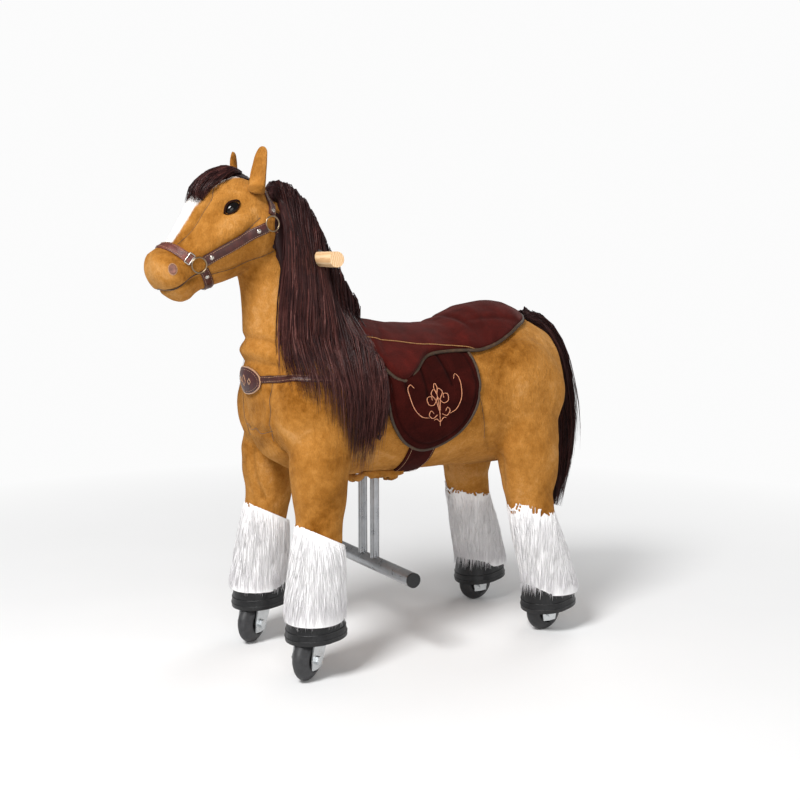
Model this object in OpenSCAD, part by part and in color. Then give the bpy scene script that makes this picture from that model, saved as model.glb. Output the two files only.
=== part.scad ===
// Ride-on toy horse on four wheels: a stuffed plush body over a steel frame whose front and rear
// leg frames swing apart and together, with a wooden grip, a saddle and a sliding footrest.
// Millimetres. +X is forwards, +Y is the horse's left, +Z is up. The floor is z = 0, and the
// origin lies on it under the middle of the horse's length.

/* [Stance] */
// Distance from the front swivel axis to the rear axle
wheelbase = 467; // [400:1:560]
// Distance between the left and right leg centrelines
leg_track = 218; // [200:1:260]
// Height of the leg pivots above the floor
pivot_z = 432; // [400:1:520]
// Swing of each leg frame from closed to fully open, in degrees
leg_swing = 10; // [4:1:12]

/* [Trunk] */
// Height of the stuffed trunk from belly to back
trunk_h = 252; // [225:1:305]
// Width of the stuffed trunk at the saddle
trunk_w = 254; // [240:1:305]

/* [Neck and head] */
// Height of the skull centre above the leg pivots
head_rise = 296; // [270:1:355]
// Length of the head from the back of the skull to the nose
head_len = 244; // [205:1:290]
// Width of the head at the cheeks
head_w = 130; // [112:1:155]
// Slope of the face below level, in degrees
face_slope = 32; // [20:1:45]
// Length of one ear
ear_len = 72; // [50:1:90]

/* [Hooves] */
// Radius of a hoof's toe at its rim
hoof_r = 47; // [46:1:56]
// How far behind the toe's centre the heel's centre is
hoof_oval = 10; // [0:1:14]
// Height of the front hoof rims above the floor
front_rim_z = 65; // [62:1:70]
// Height of the rear hoof rims above the floor
rear_rim_z = 43; // [36:1:50]
// Height of a hoof
hoof_h = 58; // [50:1:66]
// Wall of a hoof
hoof_wall = 3; // [2:0.5:4]

/* [Wheels] */
// Radius of the wheels
wheel_r = 35; // [29:1:38]
// Width of the tyres
tyre_w = 30; // [24:1:34]
// Radius of the hubs
hub_r = 19; // [15:1:22]
// Radius of the axle bolts
axle_r = 4; // [3:0.5:5]
// Distance from a front swivel axis back to its axle
caster_trail = 19.5; // [12:1:22]
// Heading of the front wheels at rest, towards the horse's left, in degrees
caster_heading = 33; // [-60:1:60]
// Sheet thickness of the wheel forks
fork_t = 2.5; // [2:0.5:3]

/* [Frame] */
// Outer radius of the leg tubes
leg_tube_r = 11; // [9:0.5:13]
// Outer radius of the cross tubes that the leg frames turn on
cross_tube_r = 12.5; // [11:0.5:14]
// Wall of the frame tubes
tube_wall = 2; // [1.5:0.5:3]
// Radius of the neck post
neck_post_r = 13; // [11:0.5:15]

/* [Grip and footrest] */
// Radius of the wooden grip
grip_r = 12.5; // [11:0.5:15]
// Length of the wooden grip
grip_len = 220; // [200:1:265]
// Height of the grip above the leg pivots
grip_rise = 237; // [220:1:285]
// Length of the footrest bar
bar_len = 303; // [260:1:365]
// Outer radius of the footrest bar
bar_r = 12.5; // [11:0.5:15]
// Height of the footrest bar above the floor
bar_z = 144; // [125:1:172]
// Outer radius of the footrest posts
post_r = 8; // [7:0.5:9]
// Distance between the footrest posts
post_gap = 42; // [40:1:50]
// Rise of the footrest as the legs open
post_travel = 20; // [16:1:24]

/* [Tack] */
// Thickness of the padded saddle
saddle_t = 16; // [12:1:20]
// Thickness of the saddle flaps
flap_t = 9; // [7:1:11]
// Thickness of the straps
strap_t = 3; // [2:0.5:4]
// Width of the girth strap
girth_w = 52; // [40:1:62]
// Width of the halter straps
halter_w = 14; // [11:1:17]

/* [Hidden] */
$fn = 64;

gap = 0.3;                 // between two pieces that are sewn or pressed against each other
run = 0.05;                // radial clearance of a turning or sliding fit
move_gap = 1.4;            // between a moving leg and the trunk around it
soft_fn = 32;              // sides of the sections of the stuffed pieces

front_x = wheelbase / 2;
rear_x = -wheelbase / 2;
leg_y = leg_track / 2;
front_pitch = 4;           // the heels are a little higher than the toes
rear_pitch = 7;
rear_hoof_x = rear_x - 4;  // the toe's centre
shoulder_x = front_x - 40; // the leg pivots lie inside the hooves, seen from the side
hip_x = rear_x + 33;
belly_z = pivot_z - trunk_h / 2 - 9;
inner_y = 58;              // the inner face of the stuffed legs
bay_y = 50;                // half width of the hollow that holds the frame

// Head: skull centre and the face's own axes.
skull_x = shoulder_x + 114;
skull_z = pivot_z + head_rise;
head_k = head_len / 244;

nose_x = skull_x + 181 * head_k * cos(face_slope);
tail_x = hip_x - 176;
origin_shift = -(nose_x + tail_x) / 2;

grip_x = shoulder_x - 8;
grip_z = pivot_z + grip_rise;
post_x = hip_x + 0.683 * (shoulder_x - hip_x);

disc_front_r = 60;
disc_rear_r = 80;

// ---- shared shapes ----

// A rod along Y.
module rod_y(r, len) rotate([90, 0, 0]) cylinder(r = r, h = len, center = true);

// Both sides of the horse.
module both() {
    children();
    mirror([0, 1, 0]) children();
}

// side = 1 is the left, side = -1 the right.
module on_side(side) mirror([0, side > 0 ? 0 : 1, 0]) children();

module rod_between(a, b, r) {
    d = b - a;
    translate(a) rotate([0, atan2(norm([d[0], 0]) * sign(d[0]), d[2]), 0])
        cylinder(r = r, h = norm(d));
}

// A stuffed form: ellipse sections joined one to the next. Each section is
// [x, y, z, tilt, half height, half width]; tilt 0 faces along X and tilt 90 along Z.
module section(s, grow) {
    translate([s[0], s[1], s[2]]) rotate([0, s[3] + 90, 0])
        linear_extrude(height = 0.4, center = true)
            scale([max(s[4] + grow, 0.5), max(s[5] + grow, 0.5)]) circle(r = 1, $fn = soft_fn);
}

module stuffed(sections, grow = 0)
    for (i = [0 : len(sections) - 2])
        hull() {
            section(sections[i], grow);
            section(sections[i + 1], grow);
        }

// ---- the stuffed body ----

tk = trunk_h / 252;        // the trunk's sections keep their shape when its size changes
tw = trunk_w / 254;
trunk_mid = belly_z + trunk_h / 2;
function along(t) = hip_x + t * (shoulder_x - hip_x);

// [place between the hip (0) and the shoulder (1), rise of the middle, half height, half width]
trunk_table = [
    [-0.295, 33, 26, 30], [-0.272, 29, 62, 62], [-0.215, 21, 97, 92], [-0.12, 14, 123, 114],
    [0.01, 11, 137, 125], [0.17, 5, 131, 127], [0.37, 1, 123, 127], [0.60, 0, 124, 126],
    [0.80, 8, 128, 123], [0.96, 15, 128, 117], [1.08, 16, 116, 106], [1.17, 16, 92, 86],
    [1.215, 16, 52, 50]];
trunk_sections = [for (s = trunk_table)
    [along(s[0]), 0, trunk_mid + s[1] * tk, 0, s[2] * tk, s[3] * tw]];

// [share of the way from the chest up to the skull, x, tilt, half depth, half width]
neck_table = [
    [-0.08, -4, 88, 86, 84], [0.16, 2, 85, 100, 92], [0.34, 12, 82, 92, 77], [0.52, 23, 79, 83, 66],
    [0.68, 35, 76, 74, 59], [0.84, 50, 73, 66, 55], [0.98, 66, 70, 58, 52], [1.08, 78, 68, 44, 42]];
neck_sections = [for (s = neck_table)
    [shoulder_x + s[1], 0, pivot_z + s[0] * head_rise, s[2], s[3] * tw, s[4] * tw]];

// [distance along the face, offset up, half height, half width], in the head's own axes
head_table = [
    [-60, 8, 24, 20], [-48, 7, 50, 42], [-24, 6, 73, 58], [2, 7, 82, 64], [30, 9, 83, 65],
    [56, 7, 76, 60], [85, 2, 63, 52], [110, -4, 51, 45], [122, -7, 47.5, 43],
    [138, -10, 48, 46], [155, -11, 44, 43], [168, -11, 31, 30], [175, -11, 12, 12]];
head_k_w = head_w / 130;
head_sections = [for (s = head_table)
    [s[0] * head_k, 0, s[1] * head_k, 0, s[2] * head_k_w, s[3] * head_k_w]];

module in_head() translate([skull_x, 0, skull_z]) rotate([0, face_slope, 0]) children();

module head_form(grow = 0) in_head() stuffed(head_sections, grow);
module trunk_form(grow = 0) stuffed(trunk_sections, grow);
module neck_form(grow = 0) stuffed(neck_sections, grow);

module body_form(grow = 0) {
    trunk_form(grow);
    neck_form(grow);
}

// The stuffed legs: sections down the column, [share of the pivot's height, x from the pivot,
// distance inwards from the leg's centreline, half length, half width].
front_leg_sections = [for (s = [[0.80, 19, 11, 50, 44], [0.71, 20, 12, 46, 41],
        [0.60, 21, 10, 40, 37], [0.46, 27, 5, 37.5, 36]])
    [shoulder_x + s[1], leg_y - s[2], s[0] * pivot_z, 90, s[3], s[4]]];
// how far a pitched hoof's top stands above or below its middle, at a distance from it
function pitch_rise(r, pitch) = r * sin(pitch);
front_foot_section = [[front_x - 5, leg_y,
    front_rim_z + hoof_h + pitch_rise(hoof_r, front_pitch) + 1, 90, 37, 36]];
rear_leg_sections = [for (s = [[0.80, -2, 13, 62, 46], [0.70, 1, 14, 50, 43],
        [0.60, -2, 12, 44, 41], [0.50, -10, 8, 41, 40]])
    [hip_x + s[1], leg_y - s[2], s[0] * pivot_z, 90, s[3], s[4]]];
rear_foot_section = [[rear_x - 7, leg_y,
    rear_rim_z + hoof_h + pitch_rise(hoof_r, rear_pitch) + 1, 90, 37, 36]];
front_leg_column = concat(front_leg_sections, front_foot_section);
rear_leg_column = concat(rear_leg_sections, rear_foot_section);

// The shoulder or thigh: a round pad about the pivot.
module joint_pad(x, r, out_y) translate([x, 0, pivot_z]) rotate([-90, 0, 0]) {
    translate([0, 0, inner_y]) cylinder(r = r, h = out_y - inner_y - 26, $fn = soft_fn);
    translate([0, 0, out_y - 12]) cylinder(r = r * 0.82, h = 0.4, $fn = soft_fn);
    translate([0, 0, out_y - 0.4]) cylinder(r = r * 0.5, h = 0.4, $fn = soft_fn);
}

module leg_form(x, r, column) {
    hull() joint_pad(x, r, leg_y + 20);
    hull() {
        joint_pad(x, r * 0.86, leg_y + 14);
        section(column[0], 0);
    }
    stuffed(column);
}

// Room for a leg over its whole swing, cut through the trunk's side.
module leg_room(x, r, column, way) {
    pad = [[x, pivot_z, r], [column[0][0], column[0][2], column[0][4]]];
    links = concat([pad], [for (i = [0 : len(column) - 2])
        [for (s = [column[i], column[i + 1]]) [s[0], s[2], s[4]]]]);
    translate([0, inner_y - move_gap, 0]) rotate([90, 0, 0]) mirror([0, 0, 1])
        linear_extrude(height = 200)
            for (ends = links)
                hull() for (a = [0, way * leg_swing], c = ends)
                    translate([x, pivot_z]) rotate(a) translate([c[0] - x, c[1] - pivot_z])
                        circle(r = c[2] + move_gap, $fn = soft_fn);
}

// ---- the steel frame ----

rail_z = pivot_z + 43;     // underside of the two rails
rail_h = 25;
rail_w = 14;
rail_y = 32;               // centre of each rail
cheek_t = 5;
cheek_y = 40;              // inner face of each cheek plate
bush_wall = 2.5;
bush_r = cross_tube_r + bush_wall;
board_t = 10;
guide_z = pivot_z - 62;    // underside of the footrest's guide plate
guide_t = 6;
post_bush_r = post_r + 3;
lug_pin_r = 3;             // the pins that hold the return spring's hooks
lug_h = 8;

// The yoke that carries one leg frame: a top plate and two cheeks with bores.
// way = 1 at the front and -1 at the rear.
module yoke(x, way) {
    difference() {
        union() {
            translate([x - 28, -cheek_y - cheek_t, rail_z - cheek_t])
                cube([56, 2 * (cheek_y + cheek_t), cheek_t]);
            both() translate([x - 20, cheek_y, pivot_z]) cube([40, cheek_t, rail_z - pivot_z]);
            both() translate([x, cheek_y + cheek_t / 2, pivot_z]) rod_y(20, cheek_t);
        }
        translate([x, 0, pivot_z]) rod_y(bush_r, 3 * cheek_y);
        // a window for the crank arm and its link, open towards the middle
        translate([x - 7 * way, 0, rail_z]) cube([46, 24, 6 * cheek_t], center = true);
    }
}

socket_len = 84;           // the steel socket that the grip goes through
grip_step = 0.4;           // the grip's middle is turned down by this much
grip_free = 36;            // bare full-size length at each end of the grip
screw_r = 2;
neck_foot = [grip_x + 2, 0, rail_z + rail_h];
neck_knee = [grip_x, 0, grip_z];
neck_top = [skull_x - 30, 0, skull_z - 10];
neck_end = neck_knee + 1.06 * (neck_top - neck_knee);  // past the neck post's upper end

module main_frame() color("dimgray") {
    both() translate([hip_x - 34, rail_y - rail_w / 2, rail_z]) difference() {
        cube([shoulder_x - hip_x + 68, rail_w, rail_h]);
        translate([-1, tube_wall, tube_wall])
            cube([shoulder_x - hip_x + 70, rail_w - 2 * tube_wall, rail_h - 2 * tube_wall]);
    }
    yoke(shoulder_x, 1);
    yoke(hip_x, -1);
    // bridge across the rails, with the neck post on it
    translate([neck_foot[0] - 25, -rail_y - rail_w / 2, rail_z + rail_h])
        cube([50, 2 * rail_y + rail_w, 5]);
    difference() {
        union() {
            rod_between(neck_foot + [0, 0, 2], neck_knee, neck_post_r);
            translate(neck_knee) sphere(r = neck_post_r);
            rod_between(neck_knee, neck_top, neck_post_r);
            translate(neck_knee) rod_y(grip_r + 3.5, socket_len);
        }
        translate(neck_knee) rod_y(grip_r - grip_step + run, 2 * socket_len);
        grip_screw_holes();
    }
    // guide plate for the footrest posts, hung from the rails
    difference() {
        union() {
            translate([post_x - 20, -rail_y - 14, guide_z]) cube([40, 2 * rail_y + 28, guide_t]);
            both() for (dx = [-20, 16])
                translate([post_x + dx, rail_y + 4, guide_z]) cube([4, 6, rail_z - guide_z + 1]);
        }
        both() translate([post_x, post_gap / 2, guide_z - 1])
            cylinder(r = post_bush_r, h = guide_t + 2);
    }
    spring_lug(guide_z + guide_t, 1);
}

module pivot_bushes() color("white")
    for (x = [shoulder_x, hip_x]) both() translate([x, cheek_y + cheek_t / 2, pivot_z])
        difference() {
            union() {
                rod_y(bush_r, cheek_t);
                translate([0, -cheek_t / 2 - 1.5, 0]) rod_y(bush_r + 3, 3);
            }
            rod_y(cross_tube_r + run, 4 * cheek_t);
        }

module post_bushes() color("white")
    both() translate([post_x, post_gap / 2, guide_z]) difference() {
        union() {
            cylinder(r = post_bush_r, h = guide_t);
            translate([0, 0, guide_t]) cylinder(r = post_bush_r + 2, h = 8);
            translate([0, 0, -6]) cylinder(r = post_bush_r + 2, h = 6);
        }
        translate([0, 0, -10]) cylinder(r = post_r + run, h = 40);
    }

module seat_board() color("burlywood") difference() {
    translate([along(0.02), -rail_y - 16, rail_z + rail_h + gap])
        cube([post_x - 26 - along(0.02), 2 * rail_y + 32, board_t]);
    // a slot over the rear link, which rises through it
    translate([post_x - 130, -14, rail_z]) cube([130, 28, 4 * board_t]);
}

// The links' shared pin, and the crank arms' own pins. Each crank's length makes its link lift
// the footrest by post_travel while its leg frame swings through leg_swing.
eye_r = 7.5;               // the links' eyes on the crank pins
// The height of the links' shared pin over the pivots that gives a crank of this length.
function rise_for(crank, reach) =
    (crank * (reach * sin(leg_swing) + post_travel) / post_travel) - post_travel / 2;
// The rear crank lifts its link's eye clear of the cross tube.
apex_rise = max(62, rise_for(cross_tube_r + eye_r + 1.2, post_x - hip_x));
apex_z = pivot_z + apex_rise;
function crank_len(reach) = (2 * post_travel * apex_rise + post_travel * post_travel)
    / (2 * reach * sin(leg_swing) + 2 * post_travel);
front_crank = crank_len(shoulder_x - post_x);
rear_crank = crank_len(post_x - hip_x);
pin_r = 4;

// A crank arm in the middle of a cross tube, with its pin.
module crank(x, rise) {
    translate([x - 7, -4, pivot_z]) cube([14, 8, rise]);
    translate([x, 0, pivot_z + rise]) rod_y(7, 8);
    translate([x, 0, pivot_z + rise]) rod_y(pin_r, 20);
}

plate_t = 4;               // the plate on each foot, inside the hoof
plate_r = 22;
front_plate_z = front_rim_z + hoof_h - hoof_wall - plate_t - 2 - pitch_rise(plate_r, front_pitch);
rear_plate_z = rear_rim_z + hoof_h - hoof_wall - plate_t - 2 - pitch_rise(plate_r, rear_pitch);
kingpin_r = 5;

module leg_frame(x, foot_x, plate_z, rise, pin_bore) {
    difference() {
        union() {
            translate([x, 0, pivot_z]) rod_y(cross_tube_r, leg_track + 8);
            both() rod_between([x, leg_y, pivot_z], [foot_x, leg_y, plate_z + 1], leg_tube_r);
            both() translate([foot_x, leg_y, plate_z]) cylinder(r = plate_r, h = plate_t);
        }
        translate([x, 0, pivot_z]) rod_y(cross_tube_r - tube_wall, leg_track - 40);
        both() translate([foot_x, leg_y, plate_z - 1]) cylinder(r = pin_bore, h = 16);
    }
    crank(x, rise);
}

module front_leg_frame() color("silver")
    leg_frame(shoulder_x, front_x, front_plate_z, front_crank, kingpin_r);
module rear_leg_frame() color("silver")
    leg_frame(hip_x, rear_x, rear_plate_z, rear_crank, 3);

// Clearance round a leg frame, inside the stuffed leg.
module leg_frame_room(x, foot_x, plate_z) {
    translate([x, 0, pivot_z]) rod_y(cross_tube_r + gap, leg_track + 10);
    rod_between([x, leg_y, pivot_z + 1], [foot_x, leg_y, plate_z - 2], leg_tube_r + gap);
}

module front_leg_plush(side) color("peru") on_side(side) difference() {
    leg_form(shoulder_x, disc_front_r, front_leg_column);
    leg_frame_room(shoulder_x, front_x, front_plate_z);
    translate([0, inner_y - 50, 0]) cube([1200, 100, 2400], center = true);
}

module rear_leg_plush(side) color("peru") on_side(side) difference() {
    leg_form(hip_x, disc_rear_r, rear_leg_column);
    leg_frame_room(hip_x, rear_x, rear_plate_z);
    translate([0, inner_y - 50, 0]) cube([1200, 100, 2400], center = true);
}

// A long-haired cuff round a foot, over the top of the hoof. Its upper edge slopes by drop.
module fur(side, column, hoof_x, pitch, top, rim, drop)
    color("white") on_side(side) difference() {
        ankle = column[3];
        foot = column[4];
        // place at a height on the line from the ankle to the foot
        hull() for (s = [[rim + 28, 11], [rim + 46, 12], [(top + rim) / 2 + 18, 9], [top + 22, 3]]) {
            t = (s[0] - foot[2]) / (ankle[2] - foot[2]);
            section([foot[0] + t * (ankle[0] - foot[0]), foot[1] + t * (ankle[1] - foot[1]), s[0],
                90, foot[4], foot[5]], s[1]);
        }
        stuffed(column, gap);
        hoof_solid(hoof_x, rim, pitch, gap);
        translate([foot[0], foot[1], rim + hoof_h - 10])
            scale([foot[4] + 2 * gap, foot[5] + 2 * gap, 1])
                cylinder(r = 1, h = foot[2] - rim - hoof_h + 11, $fn = soft_fn);
        // the sloping upper edge
        translate([foot[0], leg_y, top]) rotate([0, drop, 0]) translate([-150, -150, 0])
            cube([300, 300, 120]);
    }

module front_fur(side) fur(side, front_leg_column, front_x, front_pitch, 238, front_rim_z, -27);
module rear_fur(side) fur(side, rear_leg_column, rear_hoof_x, rear_pitch, 228, rear_rim_z, -12);

// A hoof is an open cup, oval at its rim and narrower at the top, with a notch at the heel.
// x is the toe's centre.
module hoof_solid(x, rim, pitch, grow = 0)
    translate([x, leg_y, rim + hoof_h / 2]) rotate([0, pitch, 0]) translate([0, 0, -hoof_h / 2])
        hull() {
            for (dx = [0, -hoof_oval])
                translate([dx, 0, 0]) cylinder(r = hoof_r + dx / 5 + grow, h = 7, $fn = 48);
            translate([-hoof_oval / 2, 0, hoof_h - 2]) cylinder(r = hoof_r - 7 + grow,
                h = 2 + grow, $fn = 48);
        }

module hoof(x, rim, pitch, shank_x) difference() {
    hoof_solid(x, rim, pitch);
    translate([x, leg_y, rim + hoof_h / 2]) rotate([0, pitch, 0])
        translate([0, 0, -hoof_h / 2]) {
            hull() {
                for (dx = [0, -hoof_oval])
                    translate([dx, 0, -1]) cylinder(r = hoof_r + dx / 5 - hoof_wall, h = 8,
                        $fn = 48);
                translate([-hoof_oval / 2, 0, hoof_h - hoof_wall - 1])
                    cylinder(r = hoof_r - 7 - hoof_wall, h = 1, $fn = 48);
            }
            translate([-hoof_r - 2 * hoof_oval, -5, -1]) cube([hoof_oval + 16, 10, hoof_h * 0.42]);
        }
    // the leg tube comes in through the top
    translate([shank_x, leg_y, rim]) cylinder(r = leg_tube_r + 4, h = 2 * hoof_h);
}

module front_hooves() color("black") both() hoof(front_x, front_rim_z, front_pitch, front_x);
module rear_hooves() color("black") both() hoof(rear_hoof_x, rear_rim_z, rear_pitch, rear_x);

// ---- wheels and forks ----

fork_y = tyre_w / 2 + 1.5; // inner face of a fork's side plate
fork_top = 2 * wheel_r + 9;

module wheel_place(x, side, heading, trail)
    translate([x, side * leg_y, 0]) rotate([0, 0, heading]) translate([trail, 0, wheel_r])
        children();

module tyre() difference() {
    rotate([90, 0, 0]) rotate_extrude() translate([hub_r, 0]) {
        tw2 = tyre_w / 2;
        tread = wheel_r - hub_r;
        intersection() {
            translate([0, -tw2]) square([tread, tyre_w]);
            translate([tread - 16, 0]) hull() {
                translate([0, tw2 - 9]) circle(r = 9);
                translate([0, 9 - tw2]) circle(r = 9);
                translate([6, 0]) circle(r = 10);
                translate([-20, -tw2]) square([10, tyre_w]);
            }
        }
    }
}

module hub() difference() {
    union() {
        rod_y(hub_r - 0.02, tyre_w - 8);
        rod_y(hub_r * 0.45, tyre_w);
    }
    rod_y(axle_r + run, tyre_w + 10);
}

// The axle bolt: shank, hexagon head and lock nut.
module axle_bolt() {
    reach = fork_y + fork_t;
    rod_y(axle_r, 2 * reach + 0.02);
    translate([0, reach + 2.5, 0]) rotate([90, 0, 0])
        cylinder(r = axle_r * 1.8, h = 5, center = true, $fn = 6);
    translate([0, -reach - 3, 0]) rotate([90, 0, 0])
        cylinder(r = axle_r * 1.8, h = 6, center = true, $fn = 6);
}

// A bent-sheet fork. web_x is the web's middle, measured from the axle.
module fork(top, web_x, web_r, pin) difference() {
    union() {
        both() translate([0, fork_y, 0]) rotate([90, 0, 0]) mirror([0, 0, 1])
            linear_extrude(height = fork_t) hull() {
                translate([-13, -14]) square([26, 8]);
                translate([web_x - web_r, top - wheel_r - fork_t]) square([2 * web_r, fork_t]);
                circle(r = 15);
            }
        translate([web_x - web_r, -fork_y - fork_t, top - wheel_r - fork_t])
            cube([2 * web_r, 2 * (fork_y + fork_t), fork_t]);
    }
    rod_y(axle_r, 100);
    translate([web_x, 0, 0]) cylinder(r = pin, h = 100);
}

module caster_fork(side) color("lightgray")
    wheel_place(front_x, side, caster_heading, caster_trail)
        fork(fork_top, -caster_trail, 22, kingpin_r + run);
module caster_axle(side) color("silver")
    wheel_place(front_x, side, caster_heading, caster_trail) axle_bolt();
module front_hub(side) color("dimgray")
    wheel_place(front_x, side, caster_heading, caster_trail) hub();
module front_tyre(side) color("dimgray")
    wheel_place(front_x, side, caster_heading, caster_trail) tyre();

// The kingpin, with its head under the fork's web and a thrust race above it.
module caster_kingpins() color("silver")
    both() translate([front_x, leg_y, 0]) {
        translate([0, 0, fork_top - fork_t - 5.5]) cylinder(r = 9, h = 5, $fn = 6);
        translate([0, 0, fork_top - fork_t - 1]) cylinder(r = kingpin_r,
            h = front_plate_z + plate_t + 7 - fork_top + fork_t);
        translate([0, 0, fork_top + 0.4]) cylinder(r = 14, h = front_plate_z - fork_top - 0.4);
    }

module rear_forks() color("lightgray")
    both() wheel_place(rear_x, 1, 0, 0) {
        fork(rear_plate_z, 0, 24, 3);
    }
module rear_axles() color("silver")
    both() wheel_place(rear_x, 1, 0, 0) axle_bolt();
module rear_hub(side) color("dimgray") wheel_place(rear_x, side, 0, 0) hub();
module rear_tyre(side) color("dimgray") wheel_place(rear_x, side, 0, 0) tyre();

// ---- footrest and links ----

// Two ears with a pin between them, for a hook of the return spring. way = 1 stands up.
module spring_lug(z, way) translate([post_x, 0, z]) {
    both() translate([-5, 3, way > 0 ? 0 : -lug_h]) cube([10, 3, lug_h]);
    both() translate([0, 4.5, way * lug_h]) rod_y(lug_pin_r + 1.2, 3);
    translate([0, 0, way * lug_h]) rod_y(lug_pin_r, 12);
}

head_z = pivot_z + 4;      // underside of the crosshead block
post_top = head_z + 1;

module footrest_frame() color("gray") {
    difference() {
        union() {
            translate([post_x, 0, bar_z]) rod_y(bar_r, bar_len - 8);
            both() translate([post_x, post_gap / 2, bar_z]) cylinder(r = post_r, h = post_top - bar_z);
        }
        translate([post_x, 0, bar_z]) rod_y(bar_r - tube_wall, bar_len);
    }
    // crosshead: a block across the posts, with a fork that carries the link pin
    translate([post_x - 9, -post_gap / 2 - 9, head_z]) cube([18, post_gap + 18, 12]);
    both() translate([post_x - 8, 13, head_z + 10]) cube([16, 4, apex_z - head_z - 10]);
    both() translate([post_x, 15, apex_z]) rod_y(8, 4);
    translate([post_x, 0, apex_z]) rod_y(pin_r, 32);
    spring_lug(head_z, -1);
}

module footrest_caps() color("black") both() translate([post_x, bar_len / 2, bar_z]) {
    translate([0, -2, 0]) rod_y(bar_r, 4);
    translate([0, -9, 0]) rod_y(bar_r - tube_wall, 10.02);
}

// A flat link between a crank pin and the crosshead's pin. The eye on the crosshead has free play.
eye_play = 3.2;
module link(x, rise, y0) {
    a = [x, pivot_z + rise];
    b = [post_x, apex_z];
    translate([0, y0, 0]) rotate([90, 0, 0]) linear_extrude(height = 4, center = true)
        difference() {
            hull() {
                translate(a) circle(r = eye_r);
                translate(b) circle(r = pin_r + eye_play + 3);
            }
            translate(a) circle(r = pin_r + run);
            translate(b) circle(r = pin_r + eye_play);
        }
}
module front_link() color("slategray") link(shoulder_x, front_crank, 7.5);
module rear_link() color("slategray") link(hip_x, rear_crank, -7.5);

// The return spring pulls the crosshead down to the guide plate, which closes the leg frames.
spring_r = 7;
wire_r = 1.4;
spring_eye_r = lug_pin_r + wire_r + 0.05;
module return_spring() color("gray") {
    low = guide_z + guide_t + lug_h + spring_eye_r;
    high = head_z - lug_h - spring_eye_r;
    turns = floor((high - low - 2 * wire_r) / (2 * wire_r + 0.2));
    pitch = (high - low - 2 * wire_r) / turns;
    translate([post_x, 0, low + wire_r]) rotate_extrude($fn = 32) {
        for (i = [0 : turns - 1])
            translate([spring_r, (i + 0.5) * pitch]) circle(r = wire_r, $fn = 16);
        translate([spring_r - 0.4, 0]) square([0.8, turns * pitch]);
        translate([0, -wire_r]) square([spring_r, wire_r]);
        translate([0, turns * pitch]) square([spring_r, wire_r]);
    }
    // the hooks
    for (z = [low - spring_eye_r, high + spring_eye_r])
        translate([post_x, 0, z]) rotate([90, 0, 0])
            rotate_extrude($fn = 32) translate([spring_eye_r, 0]) circle(r = wire_r, $fn = 16);
}

// ---- plush skin ----

// The hollow that holds the frame, and the well that the footrest posts move in.
module frame_bay() {
    translate([hip_x - 44, -bay_y, pivot_z - 52])
        cube([shoulder_x - hip_x + 88, 2 * bay_y, rail_z + rail_h + board_t + 8 - pivot_z + 52]);
    translate([post_x - 30, -rail_y - 16, belly_z - 40])
        cube([60, 2 * rail_y + 32, pivot_z - belly_z]);
    // headroom for the links' shared pin
    translate([post_x - 100, -26, pivot_z]) cube([150, 52, apex_rise + post_travel + 12]);
    for (x = [shoulder_x, hip_x]) translate([x, 0, pivot_z]) rod_y(cross_tube_r + 2, 2 * inner_y);
    neck_fixing_room();
}

// Room for the neck post, the grip and its socket.
module neck_fixing_room(grow = 0) {
    rod_between(neck_foot - [0, 0, 20], neck_knee + [0, 0, 1], neck_post_r + gap + grow);
    translate(neck_knee) sphere(r = neck_post_r + gap + grow);
    rod_between(neck_knee, neck_end, neck_post_r + gap + grow);
    translate(neck_knee) rod_y(grip_r + 7 + grow, socket_len + 4 + grow);
    translate(neck_knee) rod_y(grip_r + gap + grow, 2 * grip_len);
}

module body_plush() color("peru") difference() {
    body_form();
    head_form(gap);
    frame_bay();
    both() leg_room(shoulder_x, disc_front_r, front_leg_column, 1);
    both() leg_room(hip_x, disc_rear_r, rear_leg_column, -1);
}

module head_plush() color("sandybrown") difference() {
    head_form();
    rod_between(neck_knee, neck_end, neck_post_r + gap);
}

// Each ear leans back and outwards. Its sections are [share of its length, half depth, half width].
ear_root = [-31 * head_k, 46 * head_k_w, 31 * head_k_w];
ear_lean = [-0.62, 0.22, 0.75];
module ears() color("peru") both() difference() {
    in_head() stuffed([for (s = [[0, 16, 11], [0.3, 17.5, 10.5], [0.7, 12, 8], [1, 5, 4]])
        concat(ear_root + s[0] * (ear_len + 4) * ear_lean, [51, s[1], s[2]])]);
    head_form(gap);
}

// A thin patch of the head's own surface.
module head_patch(t) difference() {
    head_form(t);
    head_form(gap);
}

module eyes() color("black") both() intersection() {
    head_patch(3);
    in_head() translate([28 * head_k, 62 * head_k_w, 38 * head_k_w]) sphere(r = 12, $fn = soft_fn);
}

module nostrils() color("rosybrown") both() intersection() {
    head_patch(2);
    in_head() translate([148 * head_k, 40 * head_k_w, 8 * head_k_w]) sphere(r = 9, $fn = soft_fn);
}

module forelock() color("#3a1f1a") difference() {
    intersection() {
        head_patch(13);
        in_head() translate([-46 * head_k, -34 * head_k_w, 34]) cube([88 * head_k, 68 * head_k_w, 90]);
    }
    ears();
}

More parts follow.
